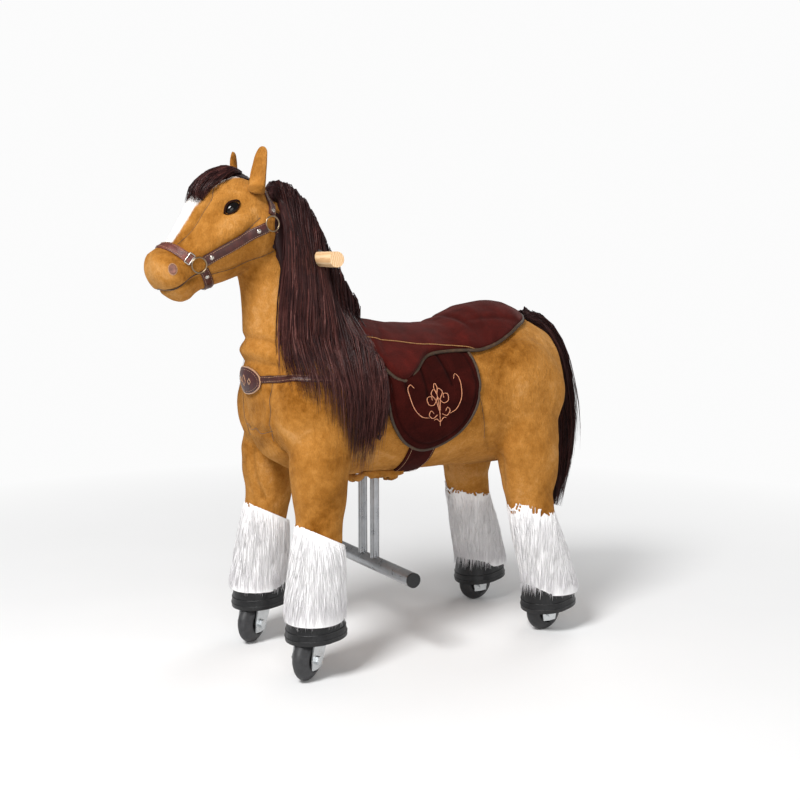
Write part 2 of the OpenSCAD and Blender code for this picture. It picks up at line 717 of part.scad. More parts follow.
// The mane stands behind the crest and hangs down both sides of the neck, behind the shoulders.
// Its outline seen from the side, as [x from the shoulder pivot, height above it].
mane_crest = [[88, 0.98], [52, 1.21], [24, 1.16], [-18, 0.94], [-62, 0.62], [-100, 0.44],
    [-74, 0.36], [-40, 0.42], [20, 0.5], [62, 0.66]];
mane_fall = [[30, 0.62], [-60, 0.6], [-92, 0.46], [-96, 0.1], [-80, -0.18], [-67, -0.12],
    [-69, 0.26], [-40, 0.4], [24, 0.46]];
module mane_side(outline, half_w)
    translate([shoulder_x, half_w, pivot_z]) rotate([90, 0, 0]) linear_extrude(height = 2 * half_w)
        polygon([for (p = outline) [p[0], p[1] * head_rise]]);
module mane() color("#3a1f1a") difference() {
    union() {
        mane_side(mane_crest, 30);
        intersection() {
            body_form(14);
            union() {
                mane_side(mane_crest, 200);
                mane_side(mane_fall, 200);
            }
        }
    }
    body_form(gap);
    head_form(gap);
    ears();
    saddle_zone(1);
    breast_strap_ring(1);
    neck_fixing_room(1);
    crown_band(1);
    rings_zone(1);
    both() flap_slab(2);
}

module tail() color("#3a1f1a") difference() {
    stuffed([for (s = [[-64, 1.08, 40, 10, 11], [-104, 1.02, 60, 14, 15], [-132, 0.86, 78, 15, 19],
            [-152, 0.66, 86, 17, 24], [-158, 0.45, 92, 18, 27], [-148, 0.2, 98, 14, 22],
            [-130, 0.0, 100, 6, 10]])
        [hip_x + s[0], 0, 185 + s[1] * (pivot_z - 72), s[2], s[3], s[4]]]);
    body_form(gap);
    saddle_zone(1);
}

// ---- grip, saddle and straps ----

module grip_screw_holes() both() translate(neck_knee + [0, socket_len / 2 - 12, 0])
    cylinder(r = screw_r, h = 4 * grip_r, center = true);

module wooden_grip() color("wheat") difference() {
    translate(neck_knee) {
        rod_y(grip_r - grip_step, grip_len - 2);
        both() translate([0, (grip_len - grip_free) / 2, 0]) rod_y(grip_r, grip_free);
    }
    grip_screw_holes();
}

// Round-headed screws up through the socket and the grip.
module grip_screws() color("silver")
    both() translate(neck_knee + [0, socket_len / 2 - 12, 0]) {
        cylinder(r = screw_r, h = 2 * grip_r + 8, center = true);
        for (z = [-grip_r - 5.5, grip_r + 3.5]) translate([0, 0, z]) cylinder(r = 4, h = 2);
    }

// The saddle's outline seen from above, and from the side.
module saddle_plan() {
    hull() {
        translate([along(0.12), 0]) circle(r = 82);
        translate([along(0.25), 0]) circle(r = 92);
    }
    hull() {
        translate([along(0.25), -90]) square([along(0.68) - along(0.25), 180]);
        translate([along(0.66), -60]) square([along(0.8) - along(0.66), 120]);
    }
}

module saddle_zone(grow = 0) intersection() {
    body_form(saddle_t + grow);
    union() {
        translate([0, 0, pivot_z + 60]) linear_extrude(height = 300) offset(r = grow) saddle_plan();
        // the front lobes hang lower
        translate([0, 200, 0]) rotate([90, 0, 0]) linear_extrude(height = 400) offset(r = grow)
            hull() {
                translate([along(0.70), pivot_z + 62]) circle(r = 22);
                translate([along(0.58), pivot_z + 100]) circle(r = 30);
                translate([along(0.75), pivot_z + 100]) circle(r = 12);
            }
    }
}

module saddle_seat() color("#5c2626") difference() {
    saddle_zone();
    body_form(gap);
}

module flap_side(grow = 0) offset(r = grow) hull() {
    translate([along(0.34), pivot_z + 70]) circle(r = 10);
    translate([along(0.735), pivot_z + 60]) circle(r = 10);
    translate([along(0.72), pivot_z - 10]) circle(r = 16);
    translate([along(0.38), pivot_z - 4]) circle(r = 18);
    translate([along(0.57), pivot_z - 30]) circle(r = 48);
}

module flap_slab(grow = 0)
    translate([0, 300, 0]) rotate([90, 0, 0]) linear_extrude(height = 260) flap_side(grow);

module saddle_flap(side) color("#3b1618") on_side(side) difference() {
    intersection() {
        body_form(flap_t + strap_t + gap);
        flap_slab();
    }
    body_form(strap_t + 2 * gap);
    saddle_zone(gap);
    translate([shoulder_x, 0, pivot_z]) rod_y(disc_front_r + 6, 400);
}

girth_x = along(0.57);
module girth_strap() color("#2a1012") difference() {
    intersection() {
        body_form(strap_t + gap);
        translate([girth_x - girth_w / 2, -200, belly_z - 40]) cube([girth_w, 400, trunk_h - 22]);
    }
    body_form(gap);
    saddle_zone(gap);
    frame_bay();
    gaiter_zone(1);
}

module girth_buckle() color("silver") intersection() {
    translate([girth_x, -post_gap / 2 - 68, belly_z - 40]) difference() {
        translate([-girth_w / 2 - 5, -6, 0]) cube([girth_w + 10, 34, 100]);
        translate([-girth_w / 2 + 3, 2, -1]) cube([girth_w - 6, 18, 120]);
    }
    difference() {
        body_form(2 * strap_t + 2 * gap);
        body_form(strap_t + 2 * gap);
    }
}

module gaiter_zone(grow = 0) intersection() {
    body_form(8 + grow);
    translate([post_x - 40 - grow, -post_gap / 2 - 34 - grow, belly_z - 30])
        cube([80 + 2 * grow, post_gap + 68 + 2 * grow, 60]);
}

// The gathered hem where the footrest posts leave the belly.
module belly_gaiter() color("peru") difference() {
    gaiter_zone();
    body_form(gap);
    frame_bay();
}

// The halter: bands of the head's surface, cut by slabs in the head's own axes.
halter_u = 124 * head_k;   // where the noseband sits
jaw_u = 2 * head_k;
module noseband_cut(grow = 0) in_head()
    translate([halter_u - halter_w / 2 - grow, -100, -120]) cube([halter_w + 2 * grow, 200, 240]);
module crown_band(grow = 0) intersection() {
    head_form(strap_t + grow);
    in_head() translate([jaw_u, 0, -52 * head_k_w]) rotate([0, -24, 0])
        translate([-halter_w / 2 - 20 - grow, -150, 8]) cube([halter_w + 2 * grow, 300, 170]);
}

module ring_place(u, w, y) in_head() translate([u, y, w]) rotate([90, 0, 0]) children();

ring_r = 11;
module halter_ring(r) rotate_extrude($fn = 48) translate([r, 0]) circle(r = 1.6, $fn = 16);
nose_ring = [halter_u + 2, -26 * head_k_w, 46 * head_k_w];
jaw_ring = [jaw_u - 10, -30 * head_k_w, 62 * head_k_w];
module rings_zone(grow = 0) both() {
    ring_place(nose_ring[0], nose_ring[1], nose_ring[2] + 2.2) cylinder(r = ring_r + 2 + grow,
        h = 12, center = true);
    ring_place(jaw_ring[0], jaw_ring[1], jaw_ring[2] + 2.2) cylinder(r = ring_r + 2 + grow,
        h = 12, center = true);
}

module halter_rings() color("silver") both() {
    ring_place(nose_ring[0], nose_ring[1], nose_ring[2] + 3) halter_ring(ring_r);
    ring_place(jaw_ring[0], jaw_ring[1], jaw_ring[2] + 2) halter_ring(ring_r);
}

module halter_noseband() color("#5a2a24") difference() {
    intersection() {
        head_patch(strap_t);
        noseband_cut();
    }
    rings_zone();
}

module halter_cheek_straps() color("#3a1a18") difference() {
    intersection() {
        head_patch(strap_t);
        in_head() translate([(jaw_ring[0] + nose_ring[0]) / 2, 0,
                (jaw_ring[1] + nose_ring[1]) / 2])
            rotate([0, -atan2(nose_ring[1] - jaw_ring[1], nose_ring[0] - jaw_ring[0]), 0])
                cube([nose_ring[0] - jaw_ring[0], 300, halter_w], center = true);
    }
    rings_zone();
    noseband_cut(gap);
    crown_band(gap);
}

module halter_crown_strap() color("#3a1a18") difference() {
    crown_band();
    head_form(gap);
    rings_zone();
    ears();
    forelock();
    body_form(gap);
}

module halter_rivets() color("silver") both() for (t = [0.2, 0.8]) {
    p = jaw_ring + t * (nose_ring - jaw_ring);
    intersection() {
        difference() {
            head_form(strap_t + 1.5);
            head_form(strap_t + 0.05);
        }
        ring_place(p[0], p[1], p[2]) cylinder(r = 3.5, h = 60, center = true);
    }
}

strap_z = pivot_z + 48;
module breast_strap_ring(grow = 0) intersection() {
    body_form(strap_t + grow);
    translate([shoulder_x - 30, -200, strap_z - 5 - grow]) cube([300, 400, 10 + 2 * grow]);
}

module breast_strap() color("#5a2a24") difference() {
    breast_strap_ring();
    body_form(gap);
    badge_zone(gap);
    both() translate([shoulder_x, leg_y + 21 - 100, pivot_z]) rod_y(disc_front_r + 2, 200);
}

module badge_zone(grow = 0) translate([shoulder_x + 60, 0, strap_z - 6]) rotate([0, 90, 0])
    scale([22 + grow, 36 + grow, 1]) cylinder(r = 1, h = 100, $fn = 48);
module chest_badge() color("#2c1416") intersection() {
    difference() {
        body_form(strap_t + 2);
        body_form(gap);
    }
    badge_zone();
}

module place() translate([origin_shift, 0, 0]) children();

place() main_frame();
place() pivot_bushes();
place() post_bushes();
place() seat_board();
place() body_plush();
place() head_plush();
place() ears();
place() eyes();
place() nostrils();
place() forelock();
place() mane();
place() tail();
place() wooden_grip();
place() grip_screws();
place() saddle_seat();
place() saddle_flap(1);  // saddle_flap_left
place() saddle_flap(-1);  // saddle_flap_right
place() girth_strap();
place() girth_buckle();
place() halter_noseband();
place() halter_cheek_straps();
place() halter_crown_strap();
place() halter_rings();
place() halter_rivets();
place() breast_strap();
place() chest_badge();
place() belly_gaiter();
place() front_leg_frame();
place() front_leg_plush(1);  // front_leg_plush_left
place() front_leg_plush(-1);  // front_leg_plush_right
place() front_fur(1);  // front_fur_left
place() front_fur(-1);  // front_fur_right
place() front_hooves();
place() caster_kingpins();
place() caster_fork(1);  // caster_fork_left
place() caster_axle(1);  // caster_axle_left
place() front_hub(1);  // front_hub_left
place() front_tyre(1);  // front_tyre_left
place() caster_fork(-1);  // caster_fork_right
place() caster_axle(-1);  // caster_axle_right
place() front_hub(-1);  // front_hub_right
place() front_tyre(-1);  // front_tyre_right
place() rear_leg_frame();
place() rear_leg_plush(1);  // rear_leg_plush_left
place() rear_leg_plush(-1);  // rear_leg_plush_right
place() rear_fur(1);  // rear_fur_left
place() rear_fur(-1);  // rear_fur_right
place() rear_hooves();
place() rear_forks();
place() rear_axles();
place() rear_hub(1);  // rear_hub_left
place() rear_tyre(1);  // rear_tyre_left
place() rear_hub(-1);  // rear_hub_right
place() rear_tyre(-1);  // rear_tyre_right
place() footrest_frame();
place() footrest_caps();
place() front_link();
place() rear_link();
place() return_spring();
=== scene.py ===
import math
import random

import bmesh
import bpy
import numpy as np
from bpy.props import FloatProperty, FloatVectorProperty, IntProperty, PointerProperty
from mathutils import Matrix, Vector, noise
from mathutils.bvhtree import BVHTree
from mathutils.kdtree import KDTree


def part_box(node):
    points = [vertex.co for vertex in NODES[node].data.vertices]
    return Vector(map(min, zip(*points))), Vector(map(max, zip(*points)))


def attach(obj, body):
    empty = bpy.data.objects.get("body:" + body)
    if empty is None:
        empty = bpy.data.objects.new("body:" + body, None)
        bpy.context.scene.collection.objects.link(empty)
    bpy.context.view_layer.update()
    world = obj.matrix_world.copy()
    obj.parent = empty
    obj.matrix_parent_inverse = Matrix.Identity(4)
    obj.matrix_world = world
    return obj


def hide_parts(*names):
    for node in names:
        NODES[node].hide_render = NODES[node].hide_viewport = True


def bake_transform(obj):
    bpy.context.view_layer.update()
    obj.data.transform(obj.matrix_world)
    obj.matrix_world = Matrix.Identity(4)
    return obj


bl_info = {
    "name": "Plush Riding Horse",
    "version": (1, 0, 0),
    "blender": (4, 5, 0),
    "location": "3D View > Sidebar > Horse",
    "description": "Makes the fabric, hair, tack and finishes of a plush riding horse on castors",
    "category": "Object",
}

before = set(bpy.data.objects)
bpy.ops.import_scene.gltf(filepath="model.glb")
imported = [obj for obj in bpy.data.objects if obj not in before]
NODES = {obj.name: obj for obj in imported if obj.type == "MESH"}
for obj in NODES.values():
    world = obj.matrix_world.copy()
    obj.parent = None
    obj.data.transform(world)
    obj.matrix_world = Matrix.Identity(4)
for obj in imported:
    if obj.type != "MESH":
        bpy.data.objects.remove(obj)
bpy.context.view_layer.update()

MM = 0.001
girth_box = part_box("girth_strap")
GIRTH_X = (girth_box[0].x + girth_box[1].x) / 2


# ------------------------------------------------------------------ sizes and colours


class HorseFabricSettings(bpy.types.PropertyGroup):
    skin_voxel: FloatProperty(
        name="Skin Mesh Size",
        description="Edge length of the stuffed skin's mesh",
        default=0.0038,
        unit="LENGTH",
    )
    seam_depth: FloatProperty(
        name="Seam Depth",
        description="How far a sewn seam pulls the skin in",
        default=0.0026,
        unit="LENGTH",
    )
    coat_colour: FloatVectorProperty(
        name="Coat Colour",
        description="Colour of the short pile",
        default=(0.46, 0.198, 0.040),
        subtype="COLOR",
    )
    saddle_colour: FloatVectorProperty(
        name="Saddle Colour",
        description="Colour of the suede seat",
        default=(0.054, 0.0062, 0.0046),
        subtype="COLOR",
    )


class HorseHairSettings(bpy.types.PropertyGroup):
    mane_locks: IntProperty(
        name="Mane Locks",
        description="Locks of hair on each side of the neck",
        default=1500,
    )
    cuff_locks: IntProperty(
        name="Cuff Locks",
        description="Tufts of fur on each leg",
        default=1500,
    )
    seed: IntProperty(name="Seed", description="Seed of the hair's lie", default=7)


class HorseTackSettings(bpy.types.PropertyGroup):
    strap_thickness: FloatProperty(
        name="Strap Thickness",
        description="Thickness of the halter leather",
        default=0.0026,
        unit="LENGTH",
    )
    halter_width: FloatProperty(
        name="Halter Width",
        description="Width of the halter's straps",
        default=0.015,
        unit="LENGTH",
    )
    piping_radius: FloatProperty(
        name="Piping Radius",
        description="Radius of the saddle's edge binding",
        default=0.0032,
        unit="LENGTH",
    )


# ------------------------------------------------------------------ mesh helpers


def deselect_all():
    bpy.ops.object.select_all(action="DESELECT")


def only(obj):
    deselect_all()
    obj.select_set(True)
    bpy.context.view_layer.objects.active = obj


def apply_modifiers(obj):
    only(obj)
    for m in list(obj.modifiers):
        bpy.ops.object.modifier_apply(modifier=m.name)


def mesh_object(name, verts, faces):
    mesh = bpy.data.meshes.new(name)
    mesh.from_pydata([tuple(v) for v in verts], [], [tuple(f) for f in faces])
    mesh.update()
    obj = bpy.data.objects.new(name, mesh)
    bpy.context.scene.collection.objects.link(obj)
    return obj


def join(objs, name):
    deselect_all()
    for o in objs:
        o.select_set(True)
    bpy.context.view_layer.objects.active = objs[0]
    if len(objs) > 1:
        bpy.ops.object.join()
    obj = bpy.context.view_layer.objects.active
    obj.name = name
    obj.data.name = name
    return obj


def copy_nodes(names, name):
    """Merged copies of CAD nodes, joined into one new object."""
    copies = []
    for n in names:
        src = NODES[n]
        obj = bpy.data.objects.new(name, src.data.copy())
        obj.data.materials.clear()
        obj.data.transform(src.matrix_world)
        bpy.context.scene.collection.objects.link(obj)
        copies.append(obj)
    obj = join(copies, name)
    for key in list(obj.keys()):
        del obj[key]
    only(obj)
    bpy.ops.object.mode_set(mode="EDIT")
    bpy.ops.mesh.select_all(action="SELECT")
    bpy.ops.mesh.remove_doubles(threshold=1e-5)
    bpy.ops.object.mode_set(mode="OBJECT")
    return obj


def outwards(obj):
    only(obj)
    bpy.ops.object.mode_set(mode="EDIT")
    bpy.ops.mesh.select_all(action="SELECT")
    bpy.ops.mesh.normals_make_consistent(inside=False)
    bpy.ops.object.mode_set(mode="OBJECT")


def remesh(obj, size):
    only(obj)
    obj.data.remesh_voxel_size = size
    obj.data.remesh_voxel_adaptivity = 0.0
    bpy.ops.object.voxel_remesh()


def keep_largest(obj, least=0.5):
    """Drop the shells that are far smaller than the largest one."""
    bm = bmesh.new()
    bm.from_mesh(obj.data)
    seen, shells = set(), []
    for v in bm.verts:
        if v in seen:
            continue
        stack, shell = [v], []
        seen.add(v)
        while stack:
            a = stack.pop()
            shell.append(a)
            for e in a.link_edges:
                b = e.other_vert(a)
                if b not in seen:
                    seen.add(b)
                    stack.append(b)
        shells.append(shell)
    most = max(len(s) for s in shells)
    for s in shells:
        if len(s) < least * most:
            bmesh.ops.delete(bm, geom=s, context="VERTS")
    bm.to_mesh(obj.data)
    bm.free()


def smooth(obj, factor, turns):
    m = obj.modifiers.new("Smooth", "SMOOTH")
    m.factor = factor
    m.iterations = turns
    apply_modifiers(obj)


def shade(obj, angle=None):
    only(obj)
    if angle is None:
        bpy.ops.object.shade_smooth()
    else:
        bpy.ops.object.shade_smooth_by_angle(angle=math.radians(angle))


def coords(obj):
    co = np.empty(len(obj.data.vertices) * 3, np.float32)
    obj.data.vertices.foreach_get("co", co)
    return co.reshape(-1, 3).astype(float)


def vertex_normals(obj):
    n = np.empty(len(obj.data.vertices) * 3, np.float32)
    obj.data.vertex_normals.foreach_get("vector", n)
    return n.reshape(-1, 3).astype(float)


def set_coords(obj, co):
    obj.data.vertices.foreach_set("co", co.astype(np.float32).ravel())
    obj.data.update()


def set_mask(obj, name, values):
    a = obj.data.attributes.get(name) or obj.data.attributes.new(name, "FLOAT", "POINT")
    a.data.foreach_set("value", np.asarray(values, np.float32))


def surface(*objs):
    """A search tree over the faces of some meshes."""
    verts, polys, base = [], [], 0
    for o in objs:
        verts += [tuple(v.co) for v in o.data.vertices]
        polys += [tuple(i + base for i in p.vertices) for p in o.data.polygons]
        base = len(verts)
    return BVHTree.FromPolygons(verts, polys)


def resample(points, step, closed=False):
    """Evenly spaced points on a smooth curve through the given points."""
    p = [Vector(q) for q in points]
    n = len(p)
    fine = []
    spans = n if closed else n - 1
    for i in range(spans):
        a, b = p[i], p[(i + 1) % n]
        before = p[i - 1] if closed or i > 0 else a + (a - b)
        after = p[(i + 2) % n] if closed or i + 2 < n else b + (b - a)
        for k in range(16):
            t = k / 16
            fine.append(
                0.5
                * (
                    2 * a
                    + (b - before) * t
                    + (2 * before - 5 * a + 4 * b - after) * t * t
                    + (3 * a - before - 3 * b + after) * t ** 3
                )
            )
    fine.append(p[0] if closed else p[-1])
    lengths = [0.0]
    for a, b in zip(fine, fine[1:]):
        lengths.append(lengths[-1] + (b - a).length)
    count = max(3, round(lengths[-1] / step))
    out, j = [], 0
    for i in range(count if closed else count + 1):
        want = lengths[-1] * i / count
        while j < len(fine) - 2 and lengths[j + 1] < want:
            j += 1
        span = lengths[j + 1] - lengths[j] or 1.0
        out.append(fine[j].lerp(fine[j + 1], (want - lengths[j]) / span))
    return out


def tangents(pts, closed=False):
    n = len(pts)
    out = []
    for i in range(n):
        a = pts[(i - 1) % n] if closed or i > 0 else pts[0]
        b = pts[(i + 1) % n] if closed or i < n - 1 else pts[-1]
        out.append((b - a).normalized())
    return out


def tube(pts, radius, sides=8, closed=False, flat=1.0, normals=None, taper=None):
    """Vertices and faces of a tube along points; flat squeezes it along its normals."""
    tan = tangents(pts, closed)
    verts, faces, side = [], [], None
    n = len(pts)
    for i, (p, t) in enumerate(zip(pts, tan)):
        if normals is not None:
            up = (normals[i] - t * normals[i].dot(t)).normalized()
        else:
            if side is None:
                ref = Vector((0, 0, 1)) if abs(t.z) < 0.9 else Vector((1, 0, 0))
                side = t.cross(ref).normalized()
            up = side.cross(t).normalized()
        side = t.cross(up).normalized()
        r = radius * (taper(i / max(1, n - 1)) if taper else 1.0)
        for k in range(sides):
            a = 2 * math.pi * k / sides
            verts.append(p + (side * math.cos(a) + up * math.sin(a) * flat) * r)
    rows = n if closed else n - 1
    for i in range(rows):
        for k in range(sides):
            a, b = i * sides + k, i * sides + (k + 1) % sides
            c, d = ((i + 1) % n) * sides + k, ((i + 1) % n) * sides + (k + 1) % sides
            faces.append((a, b, d, c))
    if not closed:
        faces.append(tuple(range(sides))[::-1])
        faces.append(tuple((n - 1) * sides + k for k in range(sides)))
    return verts, faces


class Builder:
    """Gathers many small shapes into one mesh."""

    def __init__(self):
        self.verts, self.faces, self.tone = [], [], []

    def add(self, verts, faces, tone=0.5):
        base = len(self.verts)
        self.verts += [tuple(v) for v in verts]
        self.faces += [tuple(i + base for i in f) for f in faces]
        self.tone += [tone] * len(verts) if not hasattr(tone, "__len__") else list(tone)

    def make(self, name, fix=True):
        obj = mesh_object(name, self.verts, self.faces)
        set_mask(obj, "tone", self.tone)
        if fix:
            outwards(obj)
        return obj


def on_surface(tree, p, lift=0.0):
    hit = tree.find_nearest(Vector(p))
    if hit[0] is None:
        raise RuntimeError("no surface near a strap point")
    return hit[0] + hit[1] * lift, hit[1]


def strap(tree, path, width, thick, closed=False, lift=0.0004, step=0.004, rows=5):
    """A leather band that lies on a surface along a path: one closed mesh with eased edges."""
    pts = resample(path, step, closed)
    n = len(pts)
    base, nor = [], []
    for p in pts:
        q, m = on_surface(tree, p)
        base.append(q)
        nor.append(m)
    for _ in range(4):
        nor = [
            (nor[i - 1 if closed or i else 0] + nor[i] * 2 + nor[(i + 1) % n if closed
                else min(i + 1, n - 1)]).normalized()
            for i in range(n)
        ]
    tan = tangents(base, closed)
    verts, faces = [], []
    ring = 2 * rows
    for i in range(n):
        side = tan[i].cross(nor[i]).normalized()
        top, low = [], []
        for k in range(rows):
            s = (k / (rows - 1) - 0.5) * width
            q, m = on_surface(tree, base[i] + side * s)
            m = (m + nor[i] * 2).normalized()
            edge = 1 - abs(2 * k / (rows - 1) - 1) ** 6 * 0.35
            top.append(q + m * (lift + thick * edge))
            low.append(q + m * lift)
        verts += top + low[::-1]
    spans = n if closed else n - 1
    for i in range(spans):
        for k in range(ring):
            a, b = i * ring + k, i * ring + (k + 1) % ring
            j = ((i + 1) % n) * ring
            faces.append((a, b, j + (k + 1) % ring, j + k))
    if not closed:
        for i, flip in ((0, True), (n - 1, False)):
            for k in range(rows - 1):
                f = (i * ring + k, i * ring + k + 1, i * ring + ring - 2 - k,
                    i * ring + ring - 1 - k)
                faces.append(f[::-1] if flip else f)
    return verts, faces, base, nor, tan


def stitches(tree, line, length, gap, radius, lift, builder, tone=0.5):
    """A row of short raised threads along a line on a surface."""
    pts = resample(line, (length + gap) / 2)
    for i in range(0, len(pts) - 1, 2):
        a, na = on_surface(tree, pts[i])
        b, nb = on_surface(tree, pts[i + 1])
        a, b = a + na * lift, b + nb * lift
        d = (b - a) * (length / max(1e-6, (b - a).length) / 2)
        mid, up = (a + b) / 2, (na + nb).normalized()
        v, f = tube([mid - d, mid - d * 0.5 + up * radius * 0.5, mid + d * 0.5 + up * radius * 0.5,
            mid + d],
                    radius, 5, taper=lambda t: 0.55 + 0.45 * math.sin(math.pi * t))
        builder.add(v, f, tone)


def put(obj, material, body=None, nodes=()):
    """Give a finished piece its material, its body and the CAD nodes that it stands for."""
    obj.data.materials.clear()
    obj.data.materials.append(material)
    if nodes:
        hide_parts(*nodes)
    if body:
        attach(obj, body)
    return obj


# ------------------------------------------------------------------ shared effects


def link(tree, a, b):
    tree.links.new(a, b)


def node(tree, kind, **inputs):
    n = tree.nodes.new(kind)
    for key, value in inputs.items():
        key = key.replace("_", " ")
        if hasattr(value, "default_value") or isinstance(value, bpy.types.NodeSocket):
            tree.links.new(value, n.inputs[key])
        else:
            n.inputs[key].default_value = value
    return n


def math_node(tree, operation, *values):
    n = tree.nodes.new("ShaderNodeMath")
    n.operation = operation
    for i, value in enumerate(values):
        if isinstance(value, bpy.types.NodeSocket):
            tree.links.new(value, n.inputs[i])
        else:
            n.inputs[i].default_value = value
    return n.outputs[0]


def ramp(tree, value, *stops):
    n = tree.nodes.new("ShaderNodeValToRGB")
    while len(n.color_ramp.elements) < len(stops):
        n.color_ramp.elements.new(0.5)
    for e, (at, colour) in zip(n.color_ramp.elements, stops):
        e.position = at
        e.color = (*colour, 1)
    tree.links.new(value, n.inputs["Fac"])
    return n.outputs["Color"]


def blend_colour(tree, fac, a, b, kind="MIX"):
    n = tree.nodes.new("ShaderNodeMix")
    n.data_type = "RGBA"
    n.blend_type = kind
    for i, value in ((0, fac), (6, a), (7, b)):
        if isinstance(value, bpy.types.NodeSocket):
            tree.links.new(value, n.inputs[i])
        elif i == 0:
            n.inputs[i].default_value = value
        else:
            n.inputs[i].default_value = (*value, 1) if len(value) == 3 else value
    return n.outputs[2]


def effect(name, inputs, outputs):
    """A shader node group; inputs are (name, kind, default)."""
    tree = bpy.data.node_groups.new(name, "ShaderNodeTree")
    kinds = {"vector": "NodeSocketVector", "value": "NodeSocketFloat", "colour": "NodeSocketColor"}
    for label, kind, value in inputs:
        s = tree.interface.new_socket(label, in_out="INPUT", socket_type=kinds[kind])
        if value is not None:
            s.default_value = value
    for label, kind in outputs:
        tree.interface.new_socket(label, in_out="OUTPUT", socket_type=kinds[kind])
    return tree, tree.nodes.new("NodeGroupInput"), tree.nodes.new("NodeGroupOutput")


def make_mottle():
    """Broad, soft patches where pile lies over, with finer flecks in them."""
    tree, i, o = effect(
        "Brushed Patches",
        [("Vector", "vector", None), ("Patch", "value", 22.0), ("Fleck", "value", 160.0),
            ("Fleck Share", "value", 0.35)],
        [("Mask", "value")],
    )
    broad = node(tree, "ShaderNodeTexNoise", Vector=i.outputs["Vector"], Scale=i.outputs["Patch"],
        Detail=3.0, Roughness=0.6, Distortion=0.8)
    fine = node(tree, "ShaderNodeTexNoise", Vector=i.outputs["Vector"], Scale=i.outputs["Fleck"],
        Detail=4.0, Roughness=0.65, Distortion=0.4)
    a = math_node(tree, "MULTIPLY", fine.outputs["Fac"], i.outputs["Fleck Share"])
    left = math_node(tree, "SUBTRACT", 1.0, i.outputs["Fleck Share"])
    b = math_node(tree, "MULTIPLY", broad.outputs["Fac"], left)
    link(tree, math_node(tree, "ADD", a, b), o.inputs["Mask"])
    return tree


def make_pile():
    """The height of a short cut pile that lies mostly downwards."""
    tree, i, o = effect(
        "Short Pile",
        [("Vector", "vector", None), ("Scale", "value", 900.0)],
        [("Height", "value"), ("Shade", "value")],
    )
    lie = node(tree, "ShaderNodeMapping", Vector=i.outputs["Vector"], Scale=(1.0, 1.0, 0.45))
    tips = node(tree, "ShaderNodeTexNoise", Vector=lie.outputs["Vector"], Scale=i.outputs["Scale"],
        Detail=2.0, Roughness=0.7)
    clump = node(tree, "ShaderNodeTexVoronoi", Vector=lie.outputs["Vector"],
                 Scale=math_node(tree, "MULTIPLY", i.outputs["Scale"], 0.3), Randomness=1.0)
    both = math_node(tree, "ADD", tips.outputs["Fac"],
        math_node(tree, "MULTIPLY", clump.outputs["Distance"], 0.7))
    link(tree, both, o.inputs["Height"])
    link(tree, tips.outputs["Fac"], o.inputs["Shade"])
    return tree


def make_grain():
    """Pebbled grain with small creases, for leather and moulded plastic."""
    tree, i, o = effect(
        "Pebble Grain",
        [("Vector", "vector", None), ("Scale", "value", 600.0), ("Crease", "value", 0.3)],
        [("Height", "value"), ("Wear", "value")],
    )
    cells = node(tree, "ShaderNodeTexVoronoi", Vector=i.outputs["Vector"], Scale=i.outputs["Scale"],
        Randomness=1.0)
    fold = node(tree, "ShaderNodeTexNoise", Vector=i.outputs["Vector"],
                Scale=math_node(tree, "MULTIPLY", i.outputs["Scale"], 0.12), Detail=4.0,
                Roughness=0.6)
    crease_relief_and_shade = math_node(tree, "MULTIPLY", fold.outputs["Fac"], i.outputs["Crease"])
    link(tree, math_node(tree, "ADD", cells.outputs["Distance"], crease_relief_and_shade), o.inputs["Height"])
    link(tree, fold.outputs["Fac"], o.inputs["Wear"])
    return tree


def make_brush():
    """Fine drawn lines and blotches, for tube, plate and wire."""
    tree, i, o = effect(
        "Drawn Metal",
        [("Vector", "vector", None), ("Lines", "value", 400.0)],
        [("Height", "value"), ("Blotch", "value")],
    )
    lie = node(tree, "ShaderNodeMapping", Vector=i.outputs["Vector"], Scale=(1.0, 0.05, 1.0))
    lines = node(tree, "ShaderNodeTexNoise", Vector=lie.outputs["Vector"], Scale=i.outputs["Lines"],
        Detail=3.0, Roughness=0.6)
    blotch = node(tree, "ShaderNodeTexNoise", Vector=i.outputs["Vector"], Scale=55.0, Detail=4.0,
        Roughness=0.6)
    link(tree, lines.outputs["Fac"], o.inputs["Height"])
    link(tree, blotch.outputs["Fac"], o.inputs["Blotch"])
    return tree


EFFECTS = {}


def group(tree, name, **inputs):
    n = tree.nodes.new("ShaderNodeGroup")
    n.node_tree = EFFECTS[name]
    for key, value in inputs.items():
        key = key.replace("_", " ")
        if isinstance(value, bpy.types.NodeSocket):
            tree.links.new(value, n.inputs[key])
        else:
            n.inputs[key].default_value = value
    return n


def material(name, roughness=0.6, metallic=0.0, **fixed):
    m = bpy.data.materials.new(name)
    m.use_nodes = True
    tree = m.node_tree
    shader = tree.nodes["Principled BSDF"]
    shader.inputs["Roughness"].default_value = roughness
    shader.inputs["Metallic"].default_value = metallic
    for key, value in fixed.items():
        shader.inputs[key.replace("_", " ")].default_value = value
    at = tree.nodes.new("ShaderNodeTexCoord").outputs["Object"]
    return m, tree, shader, at


def bump(tree, shader, height, distance, strength=1.0):
    n = node(tree, "ShaderNodeBump", Height=height, Distance=distance, Strength=strength)
    link(tree, n.outputs["Normal"], shader.inputs["Normal"])


def attribute(tree, name):
    n = tree.nodes.new("ShaderNodeAttribute")
    n.attribute_name = name
    return n.outputs["Fac"]


def tint(colour, k):
    return tuple(min(1.0, c * k) for c in colour)


# ------------------------------------------------------------------ finishes

FINISH = {}


